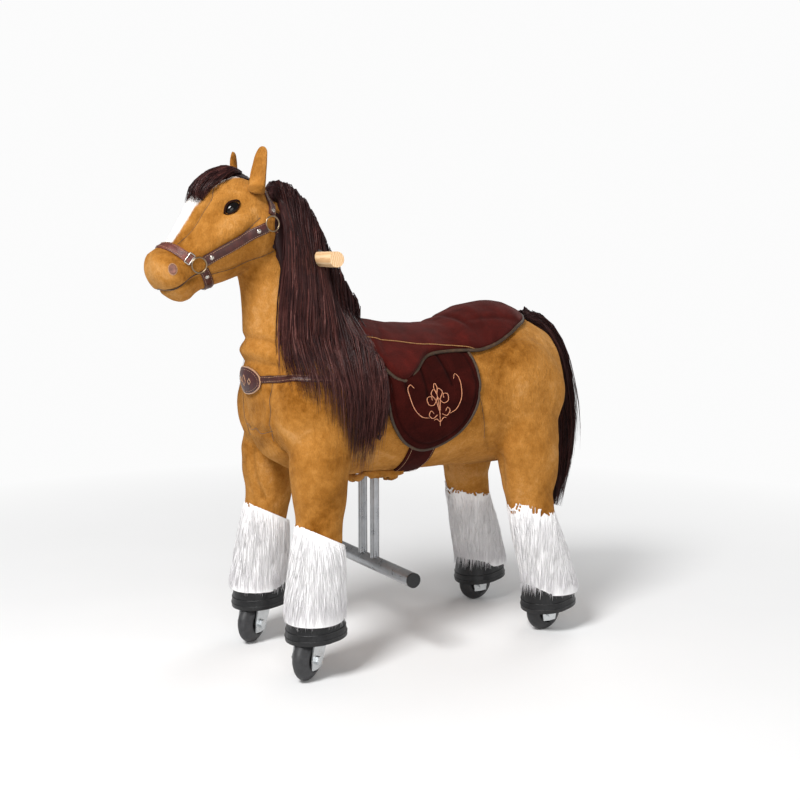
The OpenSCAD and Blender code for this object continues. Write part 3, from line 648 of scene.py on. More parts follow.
def make_coat(settings):
    c = settings.coat_colour
    m, tree, shader, at = material(
        "Tan Plush", 0.95, Sheen_Weight=0.16, Sheen_Roughness=0.5, Sheen_Tint=(1.0, 0.66, 0.30, 1),
        Specular_IOR_Level=0.04
    )
    patch = group(tree, "mottle", Vector=at, Patch=9.0, Fleck=95.0, Fleck_Share=0.30)
    # the darkest and the lightest stops are the coat's colour in shade and in light, spread at random over
    # the pile's brushed patches: painted shade and painted light, besides the pile's own patchiness
    base = ramp(tree, patch.outputs["Mask"], (0.34, (c[0] * 0.46, c[1] * 0.36, c[2] * 0.16)),
        (0.45, (c[0] * 0.8, c[1] * 0.74, c[2] * 0.6)),
                (0.55, tint(c, 1.05)), (0.66, (c[0] * 1.3, c[1] * 1.5, c[2] * 2.3)))
    pile = group(tree, "pile", Vector=at, Scale=700.0)
    shaded = blend_colour(tree, 0.42, base,
        ramp(tree, pile.outputs["Shade"], (0.3, (0.40,) * 3), (0.7, (1.0,) * 3)), "MULTIPLY")
    # darker along the seam mask, in the grooves of the seams and the mouth and round the ears' roots:
    # painted shade
    seam_shaded = blend_colour(tree, math_node(tree, "MULTIPLY", attribute(tree, "seam"), 0.62), shaded,
        tint(c, 0.20))
    white = ramp(tree, pile.outputs["Shade"], (0.3, (0.66, 0.64, 0.62)), (0.7, (0.93, 0.91, 0.89)))
    link(tree, blend_colour(tree, attribute(tree, "blaze"), seam_shaded, white),
        shader.inputs["Base Color"])
    bump(tree, shader, pile.outputs["Height"], 0.0014, 0.9)
    return m


def make_fur(name, ramp_stops, roughness, sheen):
    m, tree, shader, at = material(name, roughness, Sheen_Weight=sheen, Sheen_Roughness=0.4,
        Specular_IOR_Level=0.16)
    streak = group(tree, "mottle", Vector=at, Patch=35.0, Fleck=420.0, Fleck_Share=0.5)
    tone = math_node(tree, "ADD", math_node(tree, "MULTIPLY", attribute(tree, "tone"), 0.8),
                     math_node(tree, "MULTIPLY",
                         math_node(tree, "SUBTRACT", streak.outputs["Mask"], 0.3), 0.5))
    link(tree, ramp(tree, tone, *ramp_stops), shader.inputs["Base Color"])
    bump(tree, shader, streak.outputs["Mask"], 0.0008, 0.35)
    return m


def make_leather(name, colour, roughness=0.42, scale=700.0):
    m, tree, shader, at = material(name, roughness, Specular_IOR_Level=0.45)
    grain = group(tree, "grain", Vector=at, Scale=scale, Crease=0.5)
    link(tree, ramp(tree, grain.outputs["Wear"], (0.32, tint(colour, 0.62)), (0.52, colour),
        (0.72, tint(colour, 1.7))),
         shader.inputs["Base Color"])
    link(tree, ramp(tree, grain.outputs["Wear"], (0.3, (roughness * 0.8,) * 3),
        (0.7, (min(1, roughness * 1.35),) * 3)),
         shader.inputs["Roughness"])
    bump(tree, shader, grain.outputs["Height"], 0.0004, 0.7)
    return m


def make_suede(name, colour, sheen=0.45):
    m, tree, shader, at = material(name, 0.88, Sheen_Weight=sheen, Sheen_Roughness=0.5,
        Sheen_Tint=(1.0, 0.62, 0.58, 1),
                                   Specular_IOR_Level=0.05)
    patch = group(tree, "mottle", Vector=at, Patch=26.0, Fleck=700.0, Fleck_Share=0.45)
    base = ramp(tree, patch.outputs["Mask"], (0.34, tint(colour, 0.6)), (0.5, colour),
        (0.66, tint(colour, 1.6)))
    # darker along the seam mask, in the seat's folds and welts, the flaps' quilted channels and the hem's
    # hollows: painted shade
    crease_relief_and_shade = blend_colour(tree, math_node(tree, "MULTIPLY", attribute(tree, "seam"), 0.8), base,
        tint(colour, 0.2))
    link(tree, crease_relief_and_shade, shader.inputs["Base Color"])
    pile = group(tree, "pile", Vector=at, Scale=1500.0)
    bump(tree, shader, pile.outputs["Height"], 0.0005, 0.6)
    return m


def make_metal(name, colour, roughness, metallic=1.0, lines=300.0):
    m, tree, shader, at = material(name, roughness, metallic)
    drawn = group(tree, "brush", Vector=at, Lines=lines)
    link(tree, ramp(tree, drawn.outputs["Blotch"], (0.3, tint(colour, 0.78)),
        (0.7, tint(colour, 1.12))), shader.inputs["Base Color"])
    link(tree, ramp(tree, drawn.outputs["Blotch"], (0.3, (roughness * 0.8,) * 3),
        (0.7, (min(1, roughness * 1.3),) * 3)),
         shader.inputs["Roughness"])
    bump(tree, shader, drawn.outputs["Height"], 0.0002, 0.25)
    return m


def make_plastic(name, colour, roughness, scale=900.0, height=0.00025):
    m, tree, shader, at = material(name, roughness, Specular_IOR_Level=0.5)
    grain = group(tree, "grain", Vector=at, Scale=scale, Crease=0.4)
    link(tree, ramp(tree, grain.outputs["Wear"], (0.35, tint(colour, 0.75)),
        (0.7, tint(colour, 1.5))), shader.inputs["Base Color"])
    link(tree, ramp(tree, grain.outputs["Wear"], (0.3, (roughness * 0.8,) * 3),
        (0.72, (min(1, roughness * 1.4),) * 3)),
         shader.inputs["Roughness"])
    bump(tree, shader, grain.outputs["Height"], height, 0.6)
    return m


def make_beech():
    m, tree, shader, at = material("Beech", 0.5, Specular_IOR_Level=0.4)
    lie = node(tree, "ShaderNodeMapping", Vector=at, Scale=(1.0, 0.06, 1.0))
    rings = node(tree, "ShaderNodeTexWave", Vector=lie.outputs["Vector"], Scale=95.0,
        Distortion=6.0, Detail=3.0, Detail_Scale=1.2)
    pores = node(tree, "ShaderNodeTexNoise", Vector=lie.outputs["Vector"], Scale=900.0, Detail=2.0)
    base = ramp(tree, rings.outputs["Fac"], (0.1, (0.72, 0.44, 0.22)), (0.6, (0.83, 0.56, 0.31)),
        (0.95, (0.88, 0.64, 0.39)))
    link(tree, blend_colour(tree, 0.35, base,
        ramp(tree, pores.outputs["Fac"], (0.35, (0.6, 0.45, 0.32)), (0.55, (1, 1, 1))), "MULTIPLY"),
         shader.inputs["Base Color"])
    bump(tree, shader, pores.outputs["Fac"], 0.0002, 0.4)
    return m


def make_thread(name, colour):
    m, tree, shader, at = material(name, 0.55, Sheen_Weight=0.3, Specular_IOR_Level=0.4)
    twist = node(tree, "ShaderNodeTexNoise", Vector=at, Scale=1300.0, Detail=1.0)
    link(tree, ramp(tree, twist.outputs["Fac"], (0.35, tint(colour, 0.6)),
        (0.65, tint(colour, 1.25))), shader.inputs["Base Color"])
    bump(tree, shader, twist.outputs["Fac"], 0.0003, 0.5)
    return m


class HORSE_OT_finishes(bpy.types.Operator):
    """Make the shared effects and every finish"""

    bl_idname = "horse.finishes"
    bl_label = "Finishes"

    def execute(self, context):
        s = context.scene.horse_fabric
        EFFECTS.update(mottle=make_mottle(), pile=make_pile(), grain=make_grain(),
            brush=make_brush())
        F = FINISH
        F["coat"] = make_coat(s)
        # the light end of the hair's ramp is a mauve highlight colour: painted highlight, which the lightest
        # locks take on
        F["hair"] = make_fur("Brown Hair",
            [(0.12, (0.007, 0.0026, 0.0028)), (0.38, (0.026, 0.0095, 0.0095)),
                             (0.62, (0.080, 0.026, 0.022)), (0.90, (0.25, 0.110, 0.095))],
                             0.34, 0.0)
        F["white fur"] = make_fur("White Fur",
            [(0.0, (0.09, 0.08, 0.11)), (0.25, (0.42, 0.39, 0.45)),
                                  (0.5, (0.80, 0.78, 0.80)), (0.9, (0.93, 0.92, 0.92))], 0.75, 0.3)
        F["suede"] = make_suede("Maroon Suede", tuple(s.saddle_colour), 0.07)
        F["flap"] = make_suede("Flap Suede", (0.028, 0.0032, 0.0022), 0.02)
        F["piping"] = make_leather("Olive Binding", (0.050, 0.027, 0.013), 0.6, 900.0)
        F["halter"] = make_leather("Halter Leather", (0.046, 0.0085, 0.0060), 0.40)
        F["nose leather"] = make_leather("Noseband Leather", (0.115, 0.028, 0.020), 0.42)
        F["lid"] = make_suede("Eyelid", (0.018, 0.006, 0.004), 0.0)
        F["badge"] = make_leather("Badge Leather", (0.048, 0.010, 0.010), 0.45)
        F["nostril"] = make_leather("Nostril Felt", (0.20, 0.092, 0.070), 0.8, 1200.0)
        F["gold thread"] = make_thread("Gold Thread", (0.42, 0.20, 0.05))
        F["copper thread"] = make_thread("Copper Thread", (0.56, 0.215, 0.095))
        F["tan thread"] = make_thread("Tan Thread", (0.42, 0.23, 0.12))
        F["dark thread"] = make_thread("Dark Thread", (0.02, 0.008, 0.006))
        F["steel grey"] = make_metal("Satin Grey Steel", (0.40, 0.41, 0.425), 0.30, 0.9)
        F["steel dark"] = make_metal("Dark Steel", (0.08, 0.082, 0.088), 0.45, 0.6)
        F["zinc"] = make_metal("Zinc Plate", (0.60, 0.62, 0.63), 0.28)
        F["nickel"] = make_metal("Nickel", (0.62, 0.58, 0.53), 0.22)
        F["bronze"] = make_metal("Dull Bronze", (0.30, 0.225, 0.145), 0.32)
        F["hoof"] = make_plastic("Moulded Hoof", (0.0035, 0.0035, 0.0042), 0.36)
        F["tyre"] = make_plastic("Grey Tyre", (0.030, 0.030, 0.032), 0.5, 1200.0)
        F["hub"] = make_plastic("Black Hub", (0.012, 0.012, 0.013), 0.4)
        F["cap"] = make_plastic("End Cap", (0.006, 0.006, 0.0065), 0.5)
        F["nylon"] = make_plastic("White Nylon", (0.62, 0.62, 0.60), 0.5)
        F["beech"] = make_beech()
        F["plywood"] = make_leather("Plywood", (0.50, 0.32, 0.16), 0.7, 60.0)
        m, tree, shader, at = material("Eye", 0.12, Specular_IOR_Level=0.22, Coat_Weight=0.12,
            Coat_Roughness=0.03)
        spot = node(tree, "ShaderNodeTexNoise", Vector=at, Scale=60.0)
        link(tree, ramp(tree, spot.outputs["Fac"], (0.4, (0.0025, 0.0018, 0.0016)),
            (0.7, (0.010, 0.006, 0.005))), shader.inputs["Base Color"])
        F["eye"] = m
        m, tree, shader, at = material("Pale Floor", 0.9)
        cloud = node(tree, "ShaderNodeTexNoise", Vector=at, Scale=3.0)
        link(tree, ramp(tree, cloud.outputs["Fac"], (0.3, (0.86, 0.86, 0.86)),
            (0.7, (0.88, 0.88, 0.88))), shader.inputs["Base Color"])
        # away from the horse the floor turns into the plain white of the backdrop
        far = node(tree, "ShaderNodeVectorMath")
        far.operation = "LENGTH"
        link(tree, at, far.inputs[0])
        white = node(tree, "ShaderNodeEmission")
        white.inputs["Color"].default_value = (0.97, 0.97, 0.97, 1)
        fade = node(tree, "ShaderNodeMixShader")
        link(tree, ramp(tree, math_node(tree, "DIVIDE", far.outputs["Value"], 4.0),
            (0.10, (0, 0, 0)), (0.45, (1, 1, 1))), fade.inputs[0])
        link(tree, shader.outputs[0], fade.inputs[1])
        link(tree, white.outputs[0], fade.inputs[2])
        link(tree, fade.outputs[0], tree.nodes["Material Output"].inputs["Surface"])
        F["floor"] = m
        return {"FINISHED"}


# ------------------------------------------------------------------ the stuffed skin

# The head's own axes: u along the face to the nose, v to the left, w up out of the brow.
SKULL = Vector((0.2653, 0.0, 0.728))
FACE = Matrix.Rotation(math.radians(32), 4, "Y")
# The trunk from rump to chest: place, middle height, half height, half width, in metres.
TRUNK = [
    (-0.359, 0.456, 0.030, 0.032), (-0.350, 0.452, 0.062, 0.062), (-0.328, 0.444, 0.097, 0.092),
    (-0.290, 0.437, 0.123, 0.114), (-0.239, 0.434, 0.136, 0.125), (-0.176, 0.428, 0.130, 0.127),
    (-0.097, 0.424, 0.122, 0.126), (-0.006, 0.423, 0.123, 0.125), (0.072, 0.431, 0.128, 0.123),
    (0.136, 0.438, 0.128, 0.118), (0.183, 0.440, 0.118, 0.108), (0.219, 0.440, 0.094, 0.088),
    (0.238, 0.440, 0.055, 0.054)]
# The neck from the chest to the skull: x, height, tilt, half depth, half width.
NECK = [
    (0.150, 0.395, 88, 0.088, 0.086), (0.154, 0.479, 85, 0.099, 0.091),
    (0.163, 0.533, 82, 0.091, 0.076),
    (0.174, 0.586, 79, 0.082, 0.065), (0.186, 0.633, 76, 0.073, 0.058),
    (0.201, 0.681, 73, 0.065, 0.054),
    (0.217, 0.722, 70, 0.057, 0.051), (0.229, 0.752, 68, 0.043, 0.041)]
SKIN = {}


def on_head(u, v, w):
    """A point in metres from millimetres in the head's own axes."""
    return SKULL + FACE.to_3x3() @ Vector((u, v, w)) * MM


def in_head(points):
    return (points - np.array(SKULL)) @ np.array(FACE.to_3x3())


def narrow_face(co, lower=0.0):
    """The face narrows towards its top, its bridge is a little hollow and its muzzle blunt."""
    flat = in_head(co) / MM
    u, w = flat[:, 0], flat[:, 2]
    high = np.clip((w + 5) / 85, 0, 1)
    high = high * high * (3 - 2 * high) * (u > -75)
    fore = np.clip((u + 75) / 50, 0, 1) * np.clip((152 - u) / 36, 0, 1)
    flat[:, 1] *= 1 - 0.24 * high * fore
    flat[:, 2] -= 15 * high * fore * np.clip((u + 30) / 70, 0, 1) + lower
    flat[:, 0] -= 0.20 * np.clip(u - 128, 0, 80) * (w > -70)
    return flat * MM @ np.array(FACE.to_3x3()).T + np.array(SKULL)


def ring_points(centre, tilt, half_h, half_w, count=40):
    t = math.radians(tilt)
    up = Vector((-math.sin(t), 0, math.cos(t)))
    return [
        Vector(centre) + up * half_h * math.cos(a) + Vector((0, 1, 0)) * half_w * math.sin(a)
        for a in (2 * math.pi * k / count for k in range(count))
    ]


def loft(name, rings):
    n = len(rings[0])
    verts = [v for r in rings for v in r]
    faces = [
        (i * n + k, i * n + (k + 1) % n, (i + 1) * n + (k + 1) % n, (i + 1) * n + k)
        for i in range(len(rings) - 1) for k in range(n)
    ]
    faces += [tuple(range(n))[::-1], tuple((len(rings) - 1) * n + k for k in range(n))]
    obj = mesh_object(name, verts, faces)
    outwards(obj)
    return obj


def ball(name, centre, radii, turn=0.0):
    deselect_all()
    bpy.ops.mesh.primitive_uv_sphere_add(segments=32, ring_count=18, radius=1.0, location=(0, 0, 0))
    obj = bpy.context.active_object
    obj.name = name
    obj.data.transform(Matrix.Translation(centre) @ Matrix.Rotation(math.radians(turn), 4,
        "Y") @ Matrix.Diagonal((*radii, 1)))
    return obj


def sewn_path(tree, line, step):
    """A line laid on the skin and eased, so that it runs smoothly."""
    pts = [on_surface(tree, p)[0] for p in resample(line, step)]
    for _ in range(10):
        pts = [pts[0]] + [(a + b * 2 + c) / 4 for a, b, c in zip(pts, pts[1:], pts[2:])] + [pts[-1]]
    return [on_surface(tree, p)[0] for p in pts]


def seam_lines():
    """The sewn seams of the left side, mirrored to the right, as points near the skin."""
    h = on_head
    face = [
        # from under the forelock down beside the blaze
        [h(10, 36, 74), h(48, 38, 58), h(84, 36, 44), h(112, 36, 38)],
        # the jaw seam from the muzzle back to the throat
        [h(96, 44, -42), h(64, 46, -50), h(26, 48, -58), h(-12, 44, -60)],
        # the cheek seam over the strap
        [h(92, 50, -8), h(56, 58, -8), h(20, 62, -8), h(-14, 62, -2)],
    ]
    body = [
        # the chest panel, down from the breast strap and in between the legs
        [Vector((0.244, 0.058, 0.478)), Vector((0.246, 0.056, 0.430)),
            Vector((0.240, 0.050, 0.392)),
         Vector((0.222, 0.062, 0.345)), Vector((0.205, 0.072, 0.300)),
         Vector((0.190, 0.070, 0.262))],
        # the thigh, from the flap down to the groin
        [Vector((-0.117, 0.130, 0.445)), Vector((-0.133, 0.126, 0.392)),
            Vector((-0.153, 0.112, 0.340)),
         Vector((-0.176, 0.098, 0.300)), Vector((-0.190, 0.090, 0.270))],
        # behind the foreleg
        [Vector((0.098, 0.128, 0.420)), Vector((0.106, 0.126, 0.360)),
            Vector((0.122, 0.110, 0.300)),
         Vector((0.140, 0.092, 0.262))],
    ]
    both = []
    for line in face + body:
        both += [line, [Vector((p.x, -p.y, p.z)) for p in line]]
    both += [
        # across the chest panel
        [Vector((0.240, 0.050, 0.392)), Vector((0.256, 0.0, 0.390)),
            Vector((0.240, -0.050, 0.392))],
        # the spine
        [Vector((-0.24, 0, 0.59)), Vector((-0.31, 0, 0.56)), Vector((-0.350, 0, 0.50)),
            Vector((-0.362, 0, 0.44)),
         Vector((-0.345, 0, 0.36))],
    ]
    return both


class HORSE_OT_skin(bpy.types.Operator):
    """Stuff the body: one sewn skin over trunk, neck, head and legs"""

    bl_idname = "horse.skin"
    bl_label = "Stuffed Skin"

    def execute(self, context):
        s = context.scene.horse_fabric
        legs = ["front_leg_plush_left", "front_leg_plush_right", "rear_leg_plush_left",
            "rear_leg_plush_right"]
        parts = [copy_nodes(["head_plush"], "head_form")]
        parts += [copy_nodes([n], "leg_form") for n in legs]
        parts.append(loft("trunk_form", [ring_points((x, 0, z), 0, h, w) for x, z, h, w in TRUNK]))
        parts.append(loft("neck_form", [ring_points((x, 0, z), t, h, w) for x, z, t, h, w in NECK]))
        # stuffing behind the cuts that the frame needs, and the rounds of haunch, shoulder, cheek and muzzle
        for side in (1, -1):
            for name, c, r, turn in (
                ("haunch", (-0.236, 0.078, 0.425), (0.092, 0.056, 0.108), 0),
                ("thigh", (-0.250, 0.100, 0.325), (0.052, 0.044, 0.100), 6),
                ("shoulder_round", (0.162, 0.076, 0.425), (0.072, 0.055, 0.095), 0),
                ("forearm", (0.172, 0.100, 0.330), (0.046, 0.043, 0.095), -4),
            ):
                parts.append(ball(name, Vector((c[0], c[1] * side, c[2])), r, turn))
            parts.append(ball("cheek", on_head(-4, 20 * side, -20), (0.060, 0.046, 0.050), 32))
            parts.append(ball("nose_round", on_head(142, 13 * side, -6), (0.037, 0.034, 0.040), 32))
        parts.append(ball("chin", on_head(138, 0, -33), (0.032, 0.033, 0.024), 32))
        parts.append(ball("throat", Vector((0.196, 0, 0.690)), (0.05, 0.046, 0.06)))
        parts.append(ball("post_fill", Vector((0.205, 0, 0.690)), (0.06, 0.035, 0.06)))
        skin = join(parts, "skin")
        remesh(skin, s.skin_voxel)
        keep_largest(skin)
        smooth(skin, 0.5, 14)

        # the face narrows towards its top, and its bridge is a little hollow
        set_coords(skin, narrow_face(coords(skin)))
        tree = surface(skin)
        co, nor = coords(skin), vertex_normals(skin)
        push = np.zeros(len(co))
        seam = np.zeros(len(co))
        for line in seam_lines():
            pts = sewn_path(tree, line, 0.002)
            kd = KDTree(len(pts))
            for i, p in enumerate(pts):
                kd.insert(p, i)
            kd.balance()
            lo = np.min([tuple(p) for p in pts], 0) - 0.04
            hi = np.max([tuple(p) for p in pts], 0) + 0.04
            near = np.where(((co > lo) & (co < hi)).all(1))[0]
            d = np.array([kd.find(Vector(co[i]))[2] for i in near])
            push[near] = np.minimum(push[near], -s.seam_depth * np.exp(-((d / 0.0042) ** 2)))
            push[near] += 0.0011 * np.exp(-(((d - 0.014) / 0.009) ** 2))
            # the seam mask, which darkens the coat in each groove: painted shade
            seam[near] = np.maximum(seam[near], 0.55 * np.exp(-((d / 0.0024) ** 2)))

        # the gathered roll where the neck is sewn to the chest, just above the breast strap
        front = np.clip((co[:, 0] - 0.17) / 0.05, 0, 1)
        neckish = (co[:, 2] > 0.47) & (co[:, 2] < 0.60) & (co[:, 0] > 0.15)
        sag = 0.506 + 0.020 * np.clip((co[:, 0] - 0.20) / 0.06, 0, 1)
        push += np.where(neckish, 0.0060 * front * np.exp(-(((co[:, 2] - sag) / 0.010) ** 2)), 0)
        push -= np.where(neckish,
            0.0045 * front * np.exp(-(((co[:, 2] - sag - 0.019) / 0.006) ** 2)), 0)
        push -= np.where(neckish,
            0.0030 * front * np.exp(-(((co[:, 2] - sag + 0.018) / 0.005) ** 2)), 0)

        # the mouth, from under the nose back to its corner
        u, v, w = in_head(co).T
        u, v, w = u / MM, v / MM, w / MM
        lip = -25.0 - 0.0016 * (178 - u) ** 2 + 0.006 * np.clip(160 - u, 0, 60) ** 1.25
        mouth = np.exp(-(((w - lip) / 3.4) ** 2)) * (u > 112) * np.clip((u - 112) / 8, 0, 1)
        push -= 0.0042 * mouth
        # the mouth's groove is darkened through the seam mask too: painted shade
        seam = np.maximum(seam, np.where(np.abs(w - lip) < 2.2, mouth, 0))
        # sockets for the eyes and a fold of brow above each
        for side in (1, -1):
            d = np.sqrt(((u - 20) / 17) ** 2 + ((w - 36) / 13) ** 2)
            local = (v * side > 20)
            push -= np.where(local, 0.0042 * np.exp(-(d ** 2)), 0)
            over = np.sqrt(((u - 14) / 22) ** 2 + ((w - 52) / 7) ** 2)
            push += np.where(local, 0.0030 * np.exp(-(over ** 2)), 0)
            dent = np.sqrt(((u - 150) / 9) ** 2 + ((w - 8) / 9) ** 2)
            push -= np.where(local, 0.0016 * np.exp(-(dent ** 2)), 0)

        # soft unevenness of the stuffing
        soft = np.array([noise.noise(Vector(c) * 13.0) + 0.5 * noise.noise(Vector(c) * 34.0)
            for c in co])
        push += 0.0022 * soft
        set_coords(skin, co + nor * push[:, None])
        smooth(skin, 0.5, 1)

        half = np.interp(u, [0, 40, 118], [25, 22, 15])
        blaze = np.clip((half - np.abs(v)) / 2.2 + 0.5, 0, 1) * (w > 8) * np.clip((124 - u) / 3, 0,
            1) * (u > -40)
        ragged = np.array([noise.noise(Vector(c) * 300.0) for c in co]) * 0.25
        blaze = np.where(blaze > 0, np.clip(blaze + ragged * (blaze < 0.98), 0, 1), 0)
        set_mask(skin, "blaze", blaze)
        set_mask(skin, "seam", seam)
        shade(skin)
        SKIN["whole"] = skin
        SKIN["tree"] = tree = surface(skin)
        # the seams' own threads, sunk in their grooves
        threads = Builder()
        for line in seam_lines():
            pts = [p for p in sewn_path(tree, line, 0.004) if p.z > (0.375 if p.x > 0 else 0.36)]
            if len(pts) > 3:
                threads.add(*tube(pts, 0.00042, 5), 0.3)
        sewn = threads.make("seam_threads")
        shade(sewn)
        put(sewn, FINISH["dark thread"], "body")
        return {"FINISHED"}


class HORSE_OT_divide_skin(bpy.types.Operator):
    """Divide the skin under the girth into a front half and a rear half"""

    bl_idname = "horse.divide_skin"
    bl_label = "Divide Skin"

    def execute(self, context):
        skin = SKIN["whole"]
        halves = {}
        for name, front in (("plush_front", True), ("plush_rear", False)):
            half = bpy.data.objects.new(name, skin.data.copy())
            half.data.name = name
            bpy.context.scene.collection.objects.link(half)
            only(half)
            bpy.ops.object.mode_set(mode="EDIT")
            bpy.ops.mesh.select_all(action="SELECT")
            bpy.ops.mesh.bisect(
                plane_co=(GIRTH_X, 0, 0), plane_no=(1, 0, 0), use_fill=True, clear_inner=front,
                clear_outer=not front
            )
            bpy.ops.object.mode_set(mode="OBJECT")
            shade(half)
            halves[name] = half
        bpy.data.objects.remove(skin)
        a, b = halves["plush_front"], halves["plush_rear"]
        put(a, FINISH["coat"], None,
            ["body_plush", "head_plush", "front_leg_plush_left", "front_leg_plush_right"])
        put(b, FINISH["coat"], None,
            ["body_plush", "rear_leg_plush_left", "rear_leg_plush_right"])
        for obj, body, way in ((a, "front_legs", 1), (b, "rear_legs", -1)):
            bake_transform(obj)
        return {"FINISHED"}


# ------------------------------------------------------------------ the face and ears


class HORSE_OT_ears(bpy.types.Operator):
    """Sew on two cupped ears"""

    bl_idname = "horse.ears"
    bl_label = "Ears"

    def execute(self, context):
        made = []
        for side in (1, -1):
            root = Vector((0.2510, 0.045 * side, 0.7700))
            tip = Vector((0.2445, 0.060 * side, 0.8430))
            axis = (tip - root).normalized()
            front = (Vector((0.80, 0.50 * side, 0)) - axis
                * Vector((0.80, 0.50 * side, 0)).dot(axis)).normalized()
            wide = axis.cross(front).normalized()
            rings = []
            for t, w, d in ((0.0, 0.0140, 0.0145), (0.12, 0.0142, 0.0140), (0.3, 0.0142, 0.0126),
                (0.5, 0.0134, 0.0110),
                            (0.7, 0.0120, 0.0096), (0.86, 0.0100, 0.0080), (0.95, 0.0072, 0.0060),
                            (0.995, 0.0028, 0.0026)):
                centre = root + (tip - root) * t + front * 0.003 * math.sin(math.pi * t)
                ring = []
                for k in range(24):
                    a = 2 * math.pi * k / 24
                    p = centre + wide * w * math.sin(a) + front * d * math.cos(a)
                    # the hollow of the ear, open to the front
                    hollow = max(0.0, math.cos(a)) ** 1.5 * min(1, max(0, t - 0.08) * 6)
                    ring.append(p - front * d * 1.25 * hollow)
                rings.append(ring)
            ear = loft("ear", rings)
            m = ear.modifiers.new("Soften", "SUBSURF")
            m.levels = m.render_levels = 2
            apply_modifiers(ear)
            made.append(ear)
        ears = join(made, "ears_sewn")
        co = coords(ears)
        nor = vertex_normals(ears)
        set_coords(ears, co + nor * np.array([[0.0006 * noise.noise(Vector(c) * 60)] for c in co]))
        set_mask(ears, "blaze", np.zeros(len(co)))
        # darker round the root of each ear, where it meets the head: painted shade
        root_z = np.clip((0.785 - co[:, 2]) / 0.004, 0, 1)
        set_mask(ears, "seam", 0.6 * root_z)
        shade(ears)
        put(ears, FINISH["coat"], "body", ["ears"])
        return {"FINISHED"}


class HORSE_OT_face(bpy.types.Operator):
    """Set in the eyes with their lids, the nostril patches and the mouth thread"""

    bl_idname = "horse.face"
    bl_label = "Face"

    def execute(self, context):
        tree = SKIN["tree"]
        eyes, lids, patches, rims, threads = [], Builder(), [], Builder(), Builder()
        for side in (1, -1):
            c, n = on_surface(tree, on_head(15, 60 * side, 40))
            n = (n + Vector((0, side * 0.6, 0))).normalized()
            along = FACE.to_3x3() @ Vector((1, 0, -0.12))
            along = (along - n * along.dot(n)).normalized()
            up = n.cross(along).normalized()
            if up.z < 0:
                up = -up
            turn = Matrix((along, up, n)).transposed().to_4x4()
            deselect_all()
            bpy.ops.mesh.primitive_uv_sphere_add(segments=40, ring_count=24, radius=1.0,
                location=(0, 0, 0))
            eye = bpy.context.active_object
            eye.data.transform(Matrix.Translation(c + n * 0.0002) @ turn @ Matrix.Diagonal((0.0122,
                0.0084, 0.0056, 1)))
            eyes.append(eye)

            def rim(t, grow=1.0, lift=0.0030):
                # an almond: pointed in front, round behind
                x = 0.0150 * math.cos(t) * grow
                y = 0.0086 * math.sin(t) * grow * (1 - 0.45 * abs(math.cos(t)) ** 2)
                y *= 1.0 if math.sin(t) > 0 else 0.86
                p = c + along * x + up * y
                d = math.sqrt((x / 0.0150) ** 2 + (y / 0.0105) ** 2)
                return p + n * (lift * math.sqrt(max(0.0, 1.2 - d * d)) - 0.0002)

            loop = [rim(2 * math.pi * k / 40, 1.0, 0.0048) for k in range(40)]
            lids.add(*tube(loop, 0.0010, 8, closed=True), 0.3)
            upper = [rim(math.pi * (0.04 + 0.92 * k / 22), 1.13, 0.0052) for k in range(23)]
            lids.add(*tube(upper, 0.0017, 8,
                taper=lambda t: 0.35 + 0.65 * math.sin(math.pi * t)), 0.2)

            c, n = on_surface(tree, on_head(143, 42 * side, 3))
            u_axis = Vector((0.10, 0, 1.0))
            u_axis = (u_axis - n * u_axis.dot(n)).normalized()
            v_axis = n.cross(u_axis)
            verts, faces = [], []
            for r in range(7):
                for k in range(32):
                    a = 2 * math.pi * k / 32
                    s = r / 6
                    p = c + (u_axis * 0.0088 * math.cos(a) + v_axis * 0.0066 * math.sin(a)) * s
                    q, m = on_surface(tree, p)
                    verts.append(q + m * (0.0011 - 0.0016 * max(0, 0.55 - s)) if s < 0.99
                        else q + m * 0.0001)
            for r in range(6):
                for k in range(32):
                    faces.append((r * 32 + k, r * 32 + (k + 1) % 32, (r + 1) * 32 + (k + 1) % 32,
                        (r + 1) * 32 + k))
            low = len(verts)
            for k in range(32):
                verts.append(verts[6 * 32 + k] - n * 0.002)
            for k in range(32):
                faces.append((6 * 32 + k, 6 * 32 + (k + 1) % 32, low + (k + 1) % 32, low + k))
            faces.append(tuple(low + k for k in range(32)))
            patch = mesh_object("patch", verts, faces)
            only(patch)
            bpy.ops.object.mode_set(mode="EDIT")
            bpy.ops.mesh.select_all(action="SELECT")
            bpy.ops.mesh.remove_doubles(threshold=1e-5)
            bpy.ops.mesh.normals_make_consistent(inside=False)
            bpy.ops.object.mode_set(mode="OBJECT")
            patches.append(patch)
            edge = [on_surface(tree, c + u_axis * 0.0088 * math.cos(a) + v_axis * 0.0066
                * math.sin(a), 0.0004)[0]
                    for a in (2 * math.pi * k / 40 for k in range(40))]
            rims.add(*tube(edge, 0.0006, 6, closed=True), 0.3)

        line = []
        for k in range(-20, 21):
            t = k / 20
            u = 178 - 66 * abs(t) ** 1.1
            lip = -25.0 - 0.0016 * (178 - u) ** 2 + 0.006 * max(0, min(60, 160 - u)) ** 1.25
            line.append(on_surface(tree, on_head(u, 54 * math.sin(t * math.pi / 2), lip),
                0.0001)[0])
        threads.add(*tube(sewn_path(tree, line, 0.003), 0.00095, 6), 0.3)

        eye = join(eyes, "eyes_glass")
        shade(eye)
        put(eye, FINISH["eye"], "body", ["eyes"])
        lid = lids.make("eyelids")
        shade(lid)
        put(lid, FINISH["lid"], "body")
        patch = join(patches, "nostril_patches")
        shade(patch, 50)
        put(patch, FINISH["nostril"], "body", ["nostrils"])
        rim_obj = rims.make("nostril_edging")
        shade(rim_obj)
        put(rim_obj, FINISH["tan thread"], "body")
        mouth = threads.make("mouth_thread")
        shade(mouth)
        put(mouth, FINISH["dark thread"], "body")
        return {"FINISHED"}


# ------------------------------------------------------------------ halter, breast strap and badge


